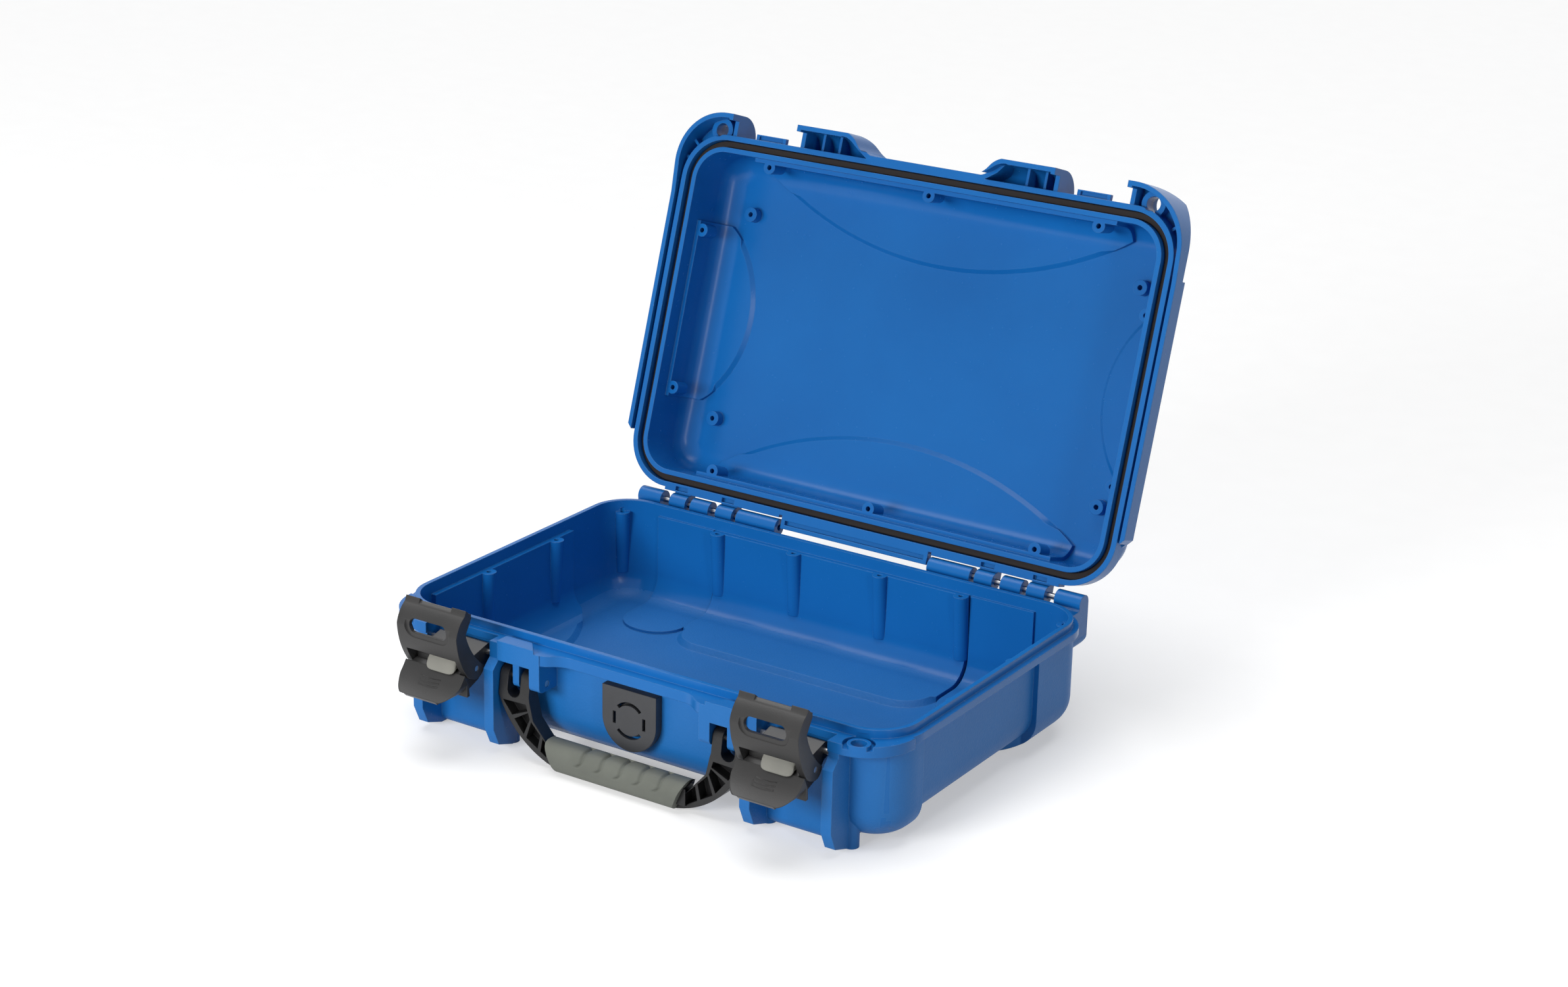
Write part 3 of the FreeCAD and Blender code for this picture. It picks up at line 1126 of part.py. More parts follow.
def handle_frame():
    """Two forked arms with trussed faces, joined by the core bar of the grip."""
    body = new_body("handle_frame")
    face = front - arm_face_out
    rear = face + arm_thick
    shoulder = base_tall - arm_shoulder_drop
    eye = arm_eye_radius
    top = swing_z + eye
    core_half = grip_thick / 2 - grip_core_inset
    core = rectangle(grip_middle - core_half, grip_middle + core_half, grip_low + grip_core_inset,
                     grip_high - grip_core_inset)
    pad(body, "handle_core", "x", [core], -grip_half_high, grip_half_high)
    brow = [(face - over, swing_z - eye * 2), (face, swing_z - eye * 2), (swing_y - eye, swing_z, eye, -1),
            (swing_y, top, eye, -1), (swing_y + eye, swing_z), (swing_y + eye + over, swing_z),
            (swing_y + eye + over, top + over), (face - over, top + over)]
    for word, way in (("right", 1), ("left", -1)):
        outer_low = (grip_half_low, grip_low)
        outer_high = (arm_outer, shoulder)
        inner_low = (grip_half_high, grip_high)
        inner_high = (arm_inner, shoulder + arm_wall)
        shape = [(arm_inner, top), inner_high, inner_low, outer_low + (arm_bow, 1), outer_high, (arm_outer, top)]
        pad(body, "handle_arm_" + word, "y", [facing(shape, way)], face, rear)
        low, high = (arm_inner, arm_outer) if way > 0 else (-arm_outer, -arm_inner)
        pad(body, "handle_eye_" + word, "x", [ring(swing_y, swing_z, eye)], low, high)
        pocket(body, "handle_brow_" + word, "x", [brow], low - over, high + over)
        fork_low = swing_z - fork_deep + fork_gap / 2
        fork = [(post_place + fork_gap / 2, top + over), (post_place - fork_gap / 2, top + over),
                (post_place - fork_gap / 2, fork_low, bow(fork_gap / 2, fork_gap * 0.4), 1),
                (post_place + fork_gap / 2, fork_low)]
        pocket(body, "handle_fork_" + word, "y", [facing(fork, way)], face - over, swing_y + eye + over)
        pocket(body, "handle_bore_" + word, "x", [ring(swing_y, swing_z, handle_pin_radius + running_gap)],
               low - over, high + over)
        knee = (arm_outer - arm_knee, shoulder - arm_knee_drop)
        rim_low = between(outer_low, inner_low, 0.4)
        flank = [inner_high, between(inner_high, inner_low, 0.95), between(inner_low, outer_low, 0.3), rim_low, knee]
        pocket(body, "handle_flank_" + word, "y", [facing(flank, way)], face - over, rear + over)
        belly = (arm_outer - arm_belly, shoulder - arm_belly_drop)
        start = (arm_inner + arm_wall, shoulder - arm_wall)
        near = [start, (knee[0] + arm_wall, knee[1]), (rim_low[0] + arm_wall, rim_low[1] + arm_wall)]
        far = [(arm_outer - arm_wall, shoulder - arm_wall), belly, between(belly, outer_low, 0.8)]
        for number in range(arm_cells):
            bars = []
            for share in ((number + rung_share) / arm_cells, (number + 1 - rung_share) / arm_cells):
                leg = min(int(share * 2), 1)
                bars.append([between(side[leg], side[leg + 1], share * 2 - leg) for side in (near, far)])
            cell = [bars[0][0], bars[1][0], bars[1][1], bars[0][1]]
            pocket(body, "handle_cell_%s_%d" % (word, number), "y", [facing(cell, way)], face - over, rear - arm_web)
    return body


def facing(points, way):
    """Outline as drawn for the +X side, or its mirror image for the other side."""
    if way > 0:
        return points
    return [(-point[0],) + tuple(point[1:3]) + tuple(-turn for turn in point[3:]) for point in points]


def handle_grip():
    """Soft sleeve over the core bar, longer along its top than along its bottom."""
    body = new_body("handle_grip")
    mid = grip_middle
    outer = rounded_rectangle(mid - grip_thick / 2, mid + grip_thick / 2, grip_low, grip_high, grip_round)
    core_half = grip_thick / 2 - grip_core_inset
    core = rectangle(mid - core_half, mid + core_half, grip_low + grip_core_inset, grip_high - grip_core_inset)
    pad(body, "grip_sleeve", "x", [outer, core], -grip_half_high, grip_half_high)
    for word, way in (("right", 1), ("left", -1)):
        corner = [(grip_half_low, grip_low), (grip_half_high, grip_high), (grip_half_high + over, grip_high),
                  (grip_half_high + over, grip_low - over), (grip_half_low, grip_low - over)]
        pocket(body, "grip_end_" + word, "y", [facing(corner, way)], mid - grip_thick, mid + grip_thick)
    return body


def valve_parts():
    """Front plate over the pressure valve, with the valve body, seal, membrane and nut."""
    wall_face = front - wall_out + lens_deep
    z = plate_z
    top = plate_z + plate_half
    shield = [(plate_half, z), (plate_half, top), (-plate_half, top), (-plate_half, z, plate_half, 1),
              (as_size(0), z - plate_half, plate_half, 1)]
    cover = new_body("valve_cover")
    pad(cover, "cover_plate", "y", [shield], wall_face - plate_thick, wall_face)
    room = valve_flange + over
    pocket(cover, "cover_room", "y", [ring(as_size(0), z, room)], wall_face - plate_thick + plate_wall, wall_face + over)
    near = room - slot_inset - slot_wide
    far = room - slot_inset
    rise, run = math.sin(math.radians(42)), math.cos(math.radians(42))
    for word, way in (("high", 1), ("low", -1)):
        arc = [(far * run, z + far * (rise * way), far, way), (-far * run, z + far * (rise * way)),
               (-near * run, z + near * (rise * way), near, -way), (near * run, z + near * (rise * way))]
        pocket(cover, "cover_slot_" + word, "y", [arc], wall_face - plate_thick - over,
               wall_face - plate_thick + plate_wall + over)
    for word, low, high in (("right", near, far), ("left", -far, -near)):
        side = rectangle(low, high, z - near * rise * 0.6, z + near * rise * 0.6)
        pocket(cover, "cover_slot_" + word, "y", [side], wall_face - plate_thick - over,
               wall_face - plate_thick + plate_wall + over)
    inner_face = front + tongue_thick / 2 + lens_deep
    valve = new_body("valve_body")
    flange_face = wall_face - valve_seal_thick - valve_flange_thick
    pad(valve, "valve_flange", "y", [ring(as_size(0), z, valve_flange)], flange_face, wall_face - valve_seal_thick)
    pad(valve, "valve_barrel", "y", [ring(as_size(0), z, valve_bore - running_gap)], wall_face - valve_seal_thick,
        inner_face + valve_nut_thick + over)
    pocket(valve, "valve_vent", "y", [ring(as_size(0), z, vent_hole)], flange_face - over,
           inner_face + valve_nut_thick + over + over)
    seat = membrane_thick + press_gap
    pocket(valve, "membrane_seat", "y", [ring(as_size(0), z, membrane_radius + press_gap)], flange_face - over,
           flange_face + seat)
    seal = new_body("valve_seal")
    pad(seal, "seal_ring", "y", [ring(as_size(0), z, valve_flange - over / 2), ring(as_size(0), z, valve_bore + press_gap)],
        wall_face - valve_seal_thick, wall_face)
    membrane = new_body("valve_membrane")
    pad(membrane, "membrane_disc", "y", [ring(as_size(0), z, membrane_radius)], flange_face, flange_face + membrane_thick)
    nut = new_body("valve_nut")
    pad(nut, "nut_ring", "y", [ring(as_size(0), z, valve_flange), ring(as_size(0), z, valve_bore)], inner_face,
        inner_face + valve_nut_thick)
    return [cover, valve, seal, membrane, nut]


shell = base_shell()
lid = lid_shell()
seal = gasket()
pieces = [shell, lid, seal] + valve_parts()
for word, way in (("right", 1), ("left", -1)):
    low, high = base_knuckle_start + shell_wall, ear_end - shell_wall - over / 2
    if way < 0:
        low, high = -high, -low
    pieces.append(pin("hinge_pin_" + word, (hinge_y, hinge_z), hinge_pin_radius, low, high))
    low, high = bracket_inner + parting_gap, arm_outer - over
    if way < 0:
        low, high = -high, -low
    pieces.append(pin("handle_pin_" + word, (swing_y, swing_z), handle_pin_radius, low, high))
    centre = latch_centre * way
    reach = bay_wide / 2 + rib_thick - over - parting_gap
    pieces.append(pin("lever_pin_" + word, (lever_y, lever_z), latch_pin_radius, centre - reach, centre + reach))
    reach = latch_wide / 2 - parting_gap
    pieces.append(pin("claw_pin_" + word, (claw_y, claw_z), latch_pin_radius, centre - reach, centre + reach))
    pieces.append(lever("latch_lever_" + word, centre))
    pieces.append(claw("latch_claw_" + word, centre))
    pieces.append(slider("lock_slider_" + word, centre))
pieces += [handle_frame(), handle_grip()]
doc.recompute()

# The lid and its gasket stand open on the hinge pins
for piece in (lid, seal):
    piece.Placement = Placement(Vector(), Rotation(Vector(1, 0, 0), -lid_open.value),
                                Vector(0, hinge_y.value, hinge_z.value))
doc.recompute()

for item in doc.Objects:
    if "Invalid" in item.State or "Error" in item.State:
        raise RuntimeError("%s: %s" % (item.Name, item.State))
os.makedirs("parts", exist_ok=True)
for piece in pieces:
    if piece.Shape.isNull() or not piece.Shape.isValid() or len(piece.Shape.Solids) != 1:
        raise RuntimeError("bad shape: " + piece.Label)
    piece.Shape.exportStep("parts/%s.step" % piece.Label)
    print("%-20s solids %d volume %.0f" % (piece.Label, len(piece.Shape.Solids), piece.Shape.Volume))
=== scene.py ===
import math

import bmesh
import bpy
from mathutils import Matrix, Vector


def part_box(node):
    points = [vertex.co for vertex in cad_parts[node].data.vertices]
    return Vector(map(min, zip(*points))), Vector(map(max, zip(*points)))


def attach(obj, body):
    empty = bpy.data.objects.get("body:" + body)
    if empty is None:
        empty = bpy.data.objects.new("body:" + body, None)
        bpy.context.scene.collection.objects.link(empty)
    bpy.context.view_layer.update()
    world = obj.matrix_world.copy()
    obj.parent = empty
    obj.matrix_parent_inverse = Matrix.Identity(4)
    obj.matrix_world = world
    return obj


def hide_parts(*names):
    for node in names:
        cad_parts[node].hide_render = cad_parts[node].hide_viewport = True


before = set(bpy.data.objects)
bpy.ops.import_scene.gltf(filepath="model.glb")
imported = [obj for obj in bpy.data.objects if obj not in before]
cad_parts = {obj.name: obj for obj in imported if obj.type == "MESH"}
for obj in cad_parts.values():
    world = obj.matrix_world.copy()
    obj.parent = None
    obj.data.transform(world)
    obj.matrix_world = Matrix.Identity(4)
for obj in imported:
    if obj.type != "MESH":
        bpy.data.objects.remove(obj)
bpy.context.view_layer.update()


# Studio: white paper under a broad overhead light, with a soft light from the front left and a
# slim strip at the right for the gloss. The camera stands above and to the right of the case.
def add_node(tree, kind, inputs=None, **settings):
    """A new node with its settings made, and each input given a value or linked to a socket."""
    made = tree.nodes.new(kind)
    for setting, value in settings.items():
        setattr(made, setting, value)
    for socket, value in (inputs or {}).items():
        if isinstance(value, bpy.types.NodeSocket):
            tree.links.new(value, made.inputs[socket])
        else:
            made.inputs[socket].default_value = value
    return made


def new_finish(name):
    """An empty material and its node tree."""
    finish = bpy.data.materials.new(name)
    finish.use_nodes = True
    finish.node_tree.nodes.clear()
    return finish, finish.node_tree


def paint(red, green, blue):
    """A display colour, each part from 0 to 255, as the linear light that a socket takes."""
    steps = [part / 255 for part in (red, green, blue)]
    return [step / 12.92 if step < 0.04 else ((step + 0.055) / 1.055) ** 2.4 for step in steps] + [1.0]


def backdrop_rays(tree):
    """1 where the camera looks straight, through glass or by a mirror at what stands behind."""
    path = add_node(tree, "ShaderNodeLightPath")
    direct = add_node(tree, "ShaderNodeMath", {0: path.outputs["Is Camera Ray"],
                      1: path.outputs["Is Transmission Ray"]}, operation="MAXIMUM")
    mirrored = add_node(tree, "ShaderNodeMath", {0: direct.outputs[0],
                        1: path.outputs["Is Glossy Ray"]}, operation="MAXIMUM")
    return mirrored.outputs[0]


def link_mesh(name, shape, smooth=True):
    """A finished bmesh becomes an object at the origin."""
    mesh = bpy.data.meshes.new(name)
    for face in shape.faces:
        face.smooth = smooth
    shape.to_mesh(mesh)
    shape.free()
    piece = bpy.data.objects.new(name, mesh)
    bpy.context.scene.collection.objects.link(piece)
    return piece


paper = bmesh.new()
bmesh.ops.create_grid(paper, x_segments=1, y_segments=1, size=6.0)
floor = link_mesh("paper_floor", paper, smooth=False)
paper_white, tree = new_finish("paper_white")
fibre = add_node(tree, "ShaderNodeTexNoise", {"Scale": 40.0, "Detail": 3.0,
                 "Vector": add_node(tree, "ShaderNodeTexCoord").outputs["Object"]})
tint = add_node(tree, "ShaderNodeValToRGB", {"Fac": fibre.outputs["Fac"]})
tint.color_ramp.elements[0].color = (0.60, 0.60, 0.60, 1)
tint.color_ramp.elements[1].color = (0.64, 0.64, 0.64, 1)
matte = add_node(tree, "ShaderNodeBsdfDiffuse", {"Color": tint.outputs["Color"]})
lift = add_node(tree, "ShaderNodeEmission", {"Strength": 0.42})
lifted = add_node(tree, "ShaderNodeAddShader", {0: matte.outputs[0], 1: lift.outputs[0]})
seen = add_node(tree, "ShaderNodeMixShader", {"Fac": backdrop_rays(tree),
                1: matte.outputs[0], 2: lifted.outputs[0]})
add_node(tree, "ShaderNodeOutputMaterial", {"Surface": seen.outputs[0]})
floor.data.materials.append(paper_white)

scene = bpy.context.scene
scene.view_settings.view_transform = "Standard"
sky = bpy.data.worlds.new("studio_sky")
sky.use_nodes = True
sky.node_tree.nodes.clear()
scene.world = sky
fill = add_node(sky.node_tree, "ShaderNodeBackground", {"Color": (0.93, 0.97, 1.0, 1), "Strength": 0.06})
backdrop = add_node(sky.node_tree, "ShaderNodeBackground", {"Color": (1, 1, 1, 1), "Strength": 1.0})
shown = add_node(sky.node_tree, "ShaderNodeMixShader", {"Fac": backdrop_rays(sky.node_tree),
                 1: fill.outputs[0], 2: backdrop.outputs[0]})
add_node(sky.node_tree, "ShaderNodeOutputWorld", {"Surface": shown.outputs[0]})


def aim(thing, place, target):
    """Stands a lamp at its place and turns its beam towards the target."""
    way = Vector(place) - Vector(target)
    thing.matrix_world = Matrix.Translation(place) @ way.to_track_quat("Z", "Y").to_matrix().to_4x4()


overhead_lamp = bpy.data.lights.new("overhead_sun", "SUN")
overhead_lamp.energy = 2.5
overhead_lamp.angle = math.radians(60)
overhead = bpy.data.objects.new("overhead_sun", overhead_lamp)
scene.collection.objects.link(overhead)
aim(overhead, (-0.30, 0.35, 2.0), (0, 0, 0))
front_lamp = bpy.data.lights.new("front_box", "AREA")
front_lamp.shape = "RECTANGLE"
front_lamp.size = 0.8
front_lamp.size_y = 0.5
front_lamp.energy = 27.0
front_box = bpy.data.objects.new("front_box", front_lamp)
front_box.visible_glossy = False
scene.collection.objects.link(front_box)
aim(front_box, (-0.36, -1.60, 0.62), (0, 0, 0.08))
strip_lamp = bpy.data.lights.new("strip_box", "AREA")
strip_lamp.shape = "RECTANGLE"
strip_lamp.size = 0.07
strip_lamp.size_y = 0.9
strip_lamp.energy = 4.0
strip = bpy.data.objects.new("strip_box", strip_lamp)
scene.collection.objects.link(strip)
aim(strip, (1.25, -0.72, 0.50), (-0.1, 0.15, 0.2))

camera = bpy.data.cameras.new("photo_camera")
camera.sensor_fit = "HORIZONTAL"
camera.sensor_width = 36.0
camera.lens = 68.1726
camera.clip_end = 50.0
camera_object = bpy.data.objects.new("photo_camera", camera)
scene.collection.objects.link(camera_object)
right = Vector((0.834907, 0.549998, 0.020805))
up = Vector((-0.203795, 0.273808, 0.939945))
turn = Matrix((right, up, right.cross(up))).transposed().to_4x4()
camera_place = (0.800454, -1.198138, 0.648850)
camera_object.matrix_world = Matrix.Translation(camera_place) @ turn
scene.camera = camera_object


# Base shell: the deep tray of the case, moulded in one shot from blue filled resin. The tool
# is polished where the tray is glossy inside, and spark eroded where the outside is stippled.
def merged_copy(node):
    """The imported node's triangles as one closed skin, with flat regions joined to single faces."""
    nearly_flat = math.radians(0.6)
    shape = bmesh.new()
    shape.from_mesh(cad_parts[node].data)
    bmesh.ops.remove_doubles(shape, verts=shape.verts, dist=2e-6)
    bmesh.ops.dissolve_limit(shape, angle_limit=nearly_flat, verts=shape.verts, edges=shape.edges)
    shape.normal_update()
    return shape


def ease_steps(shape, closing, wall_low, wall_high, half_box, ramp):
    """The raised lenses have sloped borders: their upper edge moves in along its own surface."""
    squared = closing.to_3x3()
    borders = set()
    for face in shape.faces:
        way = squared @ face.normal
        middle = closing @ face.calc_center_median()
        heights = [(closing @ corner.co).z for corner in face.verts]
        tall = max(heights) - min(heights) > ramp * 0.6
        upright = tall and wall_low < min(heights) and max(heights) < wall_high and abs(way.z) < 0.05
        if upright and abs(middle.x) < half_box.x and abs(middle.y) < half_box.y:
            borders.add(face)
    moves = {}
    for corner in {corner for face in borders for corner in face.verts}:
        walls = [face.normal for face in corner.link_faces if face in borders]
        tops = [face.normal for face in corner.link_faces if face not in borders]
        out = sum(walls, Vector()).normalized()
        if not tops or len(walls) < 2:
            continue
        top = sum(tops, Vector()).normalized()
        around = [edge.other_vert(corner).co - corner.co for edge in corner.link_edges]
        if all(leg.dot(top) < 1e-5 for leg in around):
            moves[corner] = -(out - top * out.dot(top)).normalized() * ramp
    for corner, move in moves.items():
        corner.co += move


def crease(piece, width, angle=35):
    """Moulded pieces have no knife edges: each crease gets a small radius, and flats stay flat."""
    round_over = piece.modifiers.new("edge_radius", "BEVEL")
    round_over.width = width
    round_over.segments = 2
    round_over.limit_method = "ANGLE"
    round_over.angle_limit = math.radians(angle)
    round_over.use_clamp_overlap = True
    flats = piece.modifiers.new("flat_faces", "WEIGHTED_NORMAL")
    flats.mode = "FACE_AREA"
    flats.weight = 90


def blue_resin(name, colour, dull, rough, mirror, grain_scale, grain_depth):
    """Blue filled resin: slow colour drift, a surface grain, and paler edges that are partly scuffs and
    partly a painted highlight.
    """
    finish, tree = new_finish(name)
    place = add_node(tree, "ShaderNodeTexCoord").outputs["Object"]
    drift = add_node(tree, "ShaderNodeTexNoise", {"Vector": place, "Scale": 14.0, "Detail": 4.0})
    tone = add_node(tree, "ShaderNodeValToRGB", {"Fac": drift.outputs["Fac"]})
    tone.color_ramp.elements[0].position = 0.3
    tone.color_ramp.elements[0].color = paint(*dull)
    tone.color_ramp.elements[1].position = 0.7
    tone.color_ramp.elements[1].color = paint(*colour)
    soft = add_node(tree, "ShaderNodeBevel", {"Radius": 0.0007}, samples=4)
    true_normal = add_node(tree, "ShaderNodeNewGeometry").outputs["Normal"]
    edge = add_node(tree, "ShaderNodeVectorMath", {0: soft.outputs["Normal"], 1: true_normal},
                    operation="DOT_PRODUCT")
    # The edges are painted paler, broken up by noise. This is partly scuffs and partly a painted highlight
    # standing in for the light that the rims catch.
    scuff_highlight_and_gloss_noise = add_node(tree, "ShaderNodeTexNoise", {"Vector": place, "Scale": 320.0, "Detail": 3.0})
    edge_wear_and_highlight = add_node(tree, "ShaderNodeMapRange", {"Value": edge.outputs["Value"], "From Min": 0.97,
                    "From Max": 0.80, "To Min": 0.0, "To Max": 0.30})
    scuff_and_painted_highlight = add_node(tree, "ShaderNodeMath", {0: edge_wear_and_highlight.outputs[0], 1: scuff_highlight_and_gloss_noise.outputs["Fac"]},
                     operation="MULTIPLY")
    # Mixes in the pale blue of the scuffs and of the painted edge highlight.
    shade = add_node(tree, "ShaderNodeMix", {"Factor": scuff_and_painted_highlight.outputs[0], "A": tone.outputs["Color"],
                     "B": paint(120, 170, 222)}, data_type="RGBA")
    grain = add_node(tree, "ShaderNodeTexVoronoi", {"Vector": place, "Scale": grain_scale,
                     "Smoothness": 1.0}, feature="SMOOTH_F1")
    relief = add_node(tree, "ShaderNodeBump", {"Strength": 1.0, "Distance": grain_depth,
                      "Height": grain.outputs["Distance"], "Normal": soft.outputs["Normal"]})
    gloss = add_node(tree, "ShaderNodeMapRange", {"Value": scuff_highlight_and_gloss_noise.outputs["Fac"], "To Min": rough - 0.04,
                     "To Max": rough + 0.05})
    skin = add_node(tree, "ShaderNodeBsdfPrincipled", {"Base Color": shade.outputs["Result"],
                    "Roughness": gloss.outputs[0], "Normal": relief.outputs[0],
                    "Specular IOR Level": mirror})
    add_node(tree, "ShaderNodeOutputMaterial", {"Surface": skin.outputs[0]})
    return finish


resin_polished = blue_resin("resin_polished", (21, 99, 168), (18, 93, 161), 0.25, 0.24, 260.0, 2e-5)
resin_stippled = blue_resin("resin_stippled", (27, 101, 168), (23, 95, 160), 0.50, 0.34, 900.0, 9e-5)
tray_shape = merged_copy("base_shell")
tray_floor = 0.012
rim_under = 0.056
tray_wall = Vector((0.1465, 0.0925))
for face in tray_shape.faces:
    middle = face.calc_center_median()
    past_wall = abs(middle.x) > tray_wall.x or abs(middle.y) > tray_wall.y
    outward = face.normal.x * middle.x / tray_wall.x + face.normal.y * middle.y / tray_wall.y > 0.02
    face.material_index = int(middle.z < rim_under and (past_wall and outward or middle.z < tray_floor))
# Between the brackets the front recess ends in a sill: its wide lower radius becomes an upright
# stretch, a tighter radius and a lip under the floor.
recess_round = 0.017
recess_half = 0.0815
recess_centre = Vector((0, -0.07675, 0.0245))
sill_round = 0.009
sill_centre = Vector((0, -0.08475, 0.0135))
wall_share = 0.2
round_share = 0.6
lip_share = 0.2
sill_drop = 0.011
sill_lip_deep = 0.008
sill_lip_tall = 0.003
for corner in tray_shape.verts:
    reach = (recess_centre - corner.co) / recess_round
    on_round = reach.y > 0.001 and reach.z > 0.001 and abs(math.hypot(reach.y, reach.z) - 1) < 0.02
    if on_round and abs(corner.co.x) < recess_half:
        turned = math.atan2(reach.z, reach.y) / (math.pi / 2)
        slope = min(1.0, max(0.0, (turned - wall_share) / round_share)) * math.pi / 2
        lip = max(0.0, turned - (wall_share + round_share)) / lip_share
        drop = max(0.0, wall_share - turned) / wall_share
        corner.co.y = sill_centre.y - sill_round * math.cos(slope) + sill_lip_deep * lip
        corner.co.z = sill_centre.z - sill_round * math.sin(slope) + sill_lip_tall * lip + sill_drop * drop
ease_steps(tray_shape, Matrix(), wall_low=0.0076, wall_high=0.0135, half_box=Vector((0.141, 0.086)),
           ramp=0.0028)
base_tray = link_mesh("base_tray", tray_shape)
base_tray.data.materials.append(resin_polished)
base_tray.data.materials.append(resin_stippled)
crease(base_tray, 0.0004)
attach(base_tray, "base")
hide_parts("base_shell")


# Hinge pins, lever pins, claw pins and handle pins: plain lengths of drawn steel wire with
# cropped ends, pressed into the outer knuckles and running free in the inner ones.
def drawn_steel(name):
    """Bright steel with fine lines along the wire from the drawing die."""
    finish, tree = new_finish(name)
    place = add_node(tree, "ShaderNodeTexCoord").outputs["Object"]
    along = add_node(tree, "ShaderNodeMapping", {"Vector": place, "Scale": (30.0, 900.0, 900.0)})
    lines = add_node(tree, "ShaderNodeTexNoise", {"Vector": along.outputs[0], "Scale": 1.0, "Detail": 4.0})
    tone = add_node(tree, "ShaderNodeValToRGB", {"Fac": lines.outputs["Fac"]})
    tone.color_ramp.elements[0].color = paint(150, 150, 152)
    tone.color_ramp.elements[1].color = paint(205, 206, 208)
    gloss = add_node(tree, "ShaderNodeMapRange", {"Value": lines.outputs["Fac"], "To Min": 0.22,
                     "To Max": 0.42})
    relief = add_node(tree, "ShaderNodeBump", {"Strength": 0.6, "Distance": 1e-5,
                      "Height": lines.outputs["Fac"]})
    skin = add_node(tree, "ShaderNodeBsdfPrincipled", {"Base Color": tone.outputs["Color"], "Metallic": 1.0,
                    "Roughness": gloss.outputs[0], "Normal": relief.outputs[0]})
    add_node(tree, "ShaderNodeOutputMaterial", {"Surface": skin.outputs[0]})
    return finish


pin_steel = drawn_steel("pin_steel_drawn")
for pin in ("hinge_pin", "lever_pin", "claw_pin", "handle_pin"):
    for side in ("left", "right"):
        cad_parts[pin + "_" + side].data.materials[0] = pin_steel


# Lid shell: the shallow dish that closes the case, moulded in the same blue resin. Its rim
# carries the gasket groove, the catch bars for the latches and the lobes round the padlock holes.
hinge_axle = Vector((0, 0.10915, 0.0634))
lid_opened = math.radians(107.7)
shut = Matrix.Rotation(lid_opened, 4, "X")
close_lid = Matrix.Translation(hinge_axle) @ shut @ Matrix.Translation(-hinge_axle)
lid_wall_x = 0.150
lid_wall_y = 0.098
lid_top = 0.099
skirt_top = 0.074
lid_shape = merged_copy("lid_shell")
for face in lid_shape.faces:
    middle = close_lid @ face.calc_center_median()
    way = close_lid.to_3x3() @ face.normal
    past_wall = abs(middle.x) > lid_wall_x or abs(middle.y) > lid_wall_y
    outward = way.x * middle.x / 0.15 + way.y * middle.y / 0.1 > 0.02
    on_top = middle.z > lid_top and way.z > 0.1
    face.material_index = int(on_top or middle.z > skirt_top and past_wall and outward)
# The spokes of the padlock lobes end just short of the base's lobes when the lid is shut.
spoke_near, spoke_far = 0.124, 0.128
spoke_low, spoke_high = 0.054, 0.0615
spoke_end = -0.110
spoke_clear = 0.0001
for corner in lid_shape.verts:
    spot = close_lid @ corner.co
    on_spoke = spoke_near < abs(spot.x) < spoke_far and spoke_low < spot.z < spoke_high
    if on_spoke and abs(spot.y - spoke_end) < 5e-5:
        spot.y -= spoke_clear
        corner.co = close_lid.inverted() @ spot
ease_steps(lid_shape, close_lid, wall_low=0.0940, wall_high=0.0989, half_box=Vector((0.139, 0.086)),
           ramp=0.0024)
lid_dish = link_mesh("lid_dish", lid_shape)
lid_dish.data.materials.append(resin_polished)
lid_dish.data.materials.append(resin_stippled)
crease(lid_dish, 0.0004)
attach(lid_dish, "lid")
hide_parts("lid_shell")


# Gasket: an endless ring of soft rubber cord pushed into the lid's groove, where the base's
# tongue presses into it.
def soft_rubber(name, colour, rough):
    """Matt rubber with a cloudy bloom and fine specks."""
    finish, tree = new_finish(name)
    place = add_node(tree, "ShaderNodeTexCoord").outputs["Object"]
    bloom = add_node(tree, "ShaderNodeTexNoise", {"Vector": place, "Scale": 90.0, "Detail": 5.0})
    tone = add_node(tree, "ShaderNodeValToRGB", {"Fac": bloom.outputs["Fac"]})
    tone.color_ramp.elements[0].color = paint(*[part * 0.85 for part in colour])
    tone.color_ramp.elements[1].color = paint(*colour)
    speck = add_node(tree, "ShaderNodeTexNoise", {"Vector": place, "Scale": 1500.0, "Detail": 2.0})
    relief = add_node(tree, "ShaderNodeBump", {"Strength": 0.7, "Distance": 4e-5,
                      "Height": speck.outputs["Fac"]})
    gloss = add_node(tree, "ShaderNodeMapRange", {"Value": bloom.outputs["Fac"], "To Min": rough - 0.06,
                     "To Max": rough + 0.06})
    skin = add_node(tree, "ShaderNodeBsdfPrincipled", {"Base Color": tone.outputs["Color"],
                    "Roughness": gloss.outputs[0], "Normal": relief.outputs[0], "Specular IOR Level": 0.35})
    add_node(tree, "ShaderNodeOutputMaterial", {"Surface": skin.outputs[0]})
    return finish


gasket_cord = link_mesh("gasket_cord", merged_copy("lid_gasket"))
gasket_cord.data.materials.append(soft_rubber("gasket_black", (44, 39, 37), 0.6))
crease(gasket_cord, 0.0006)
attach(gasket_cord, "lid")
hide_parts("lid_gasket")


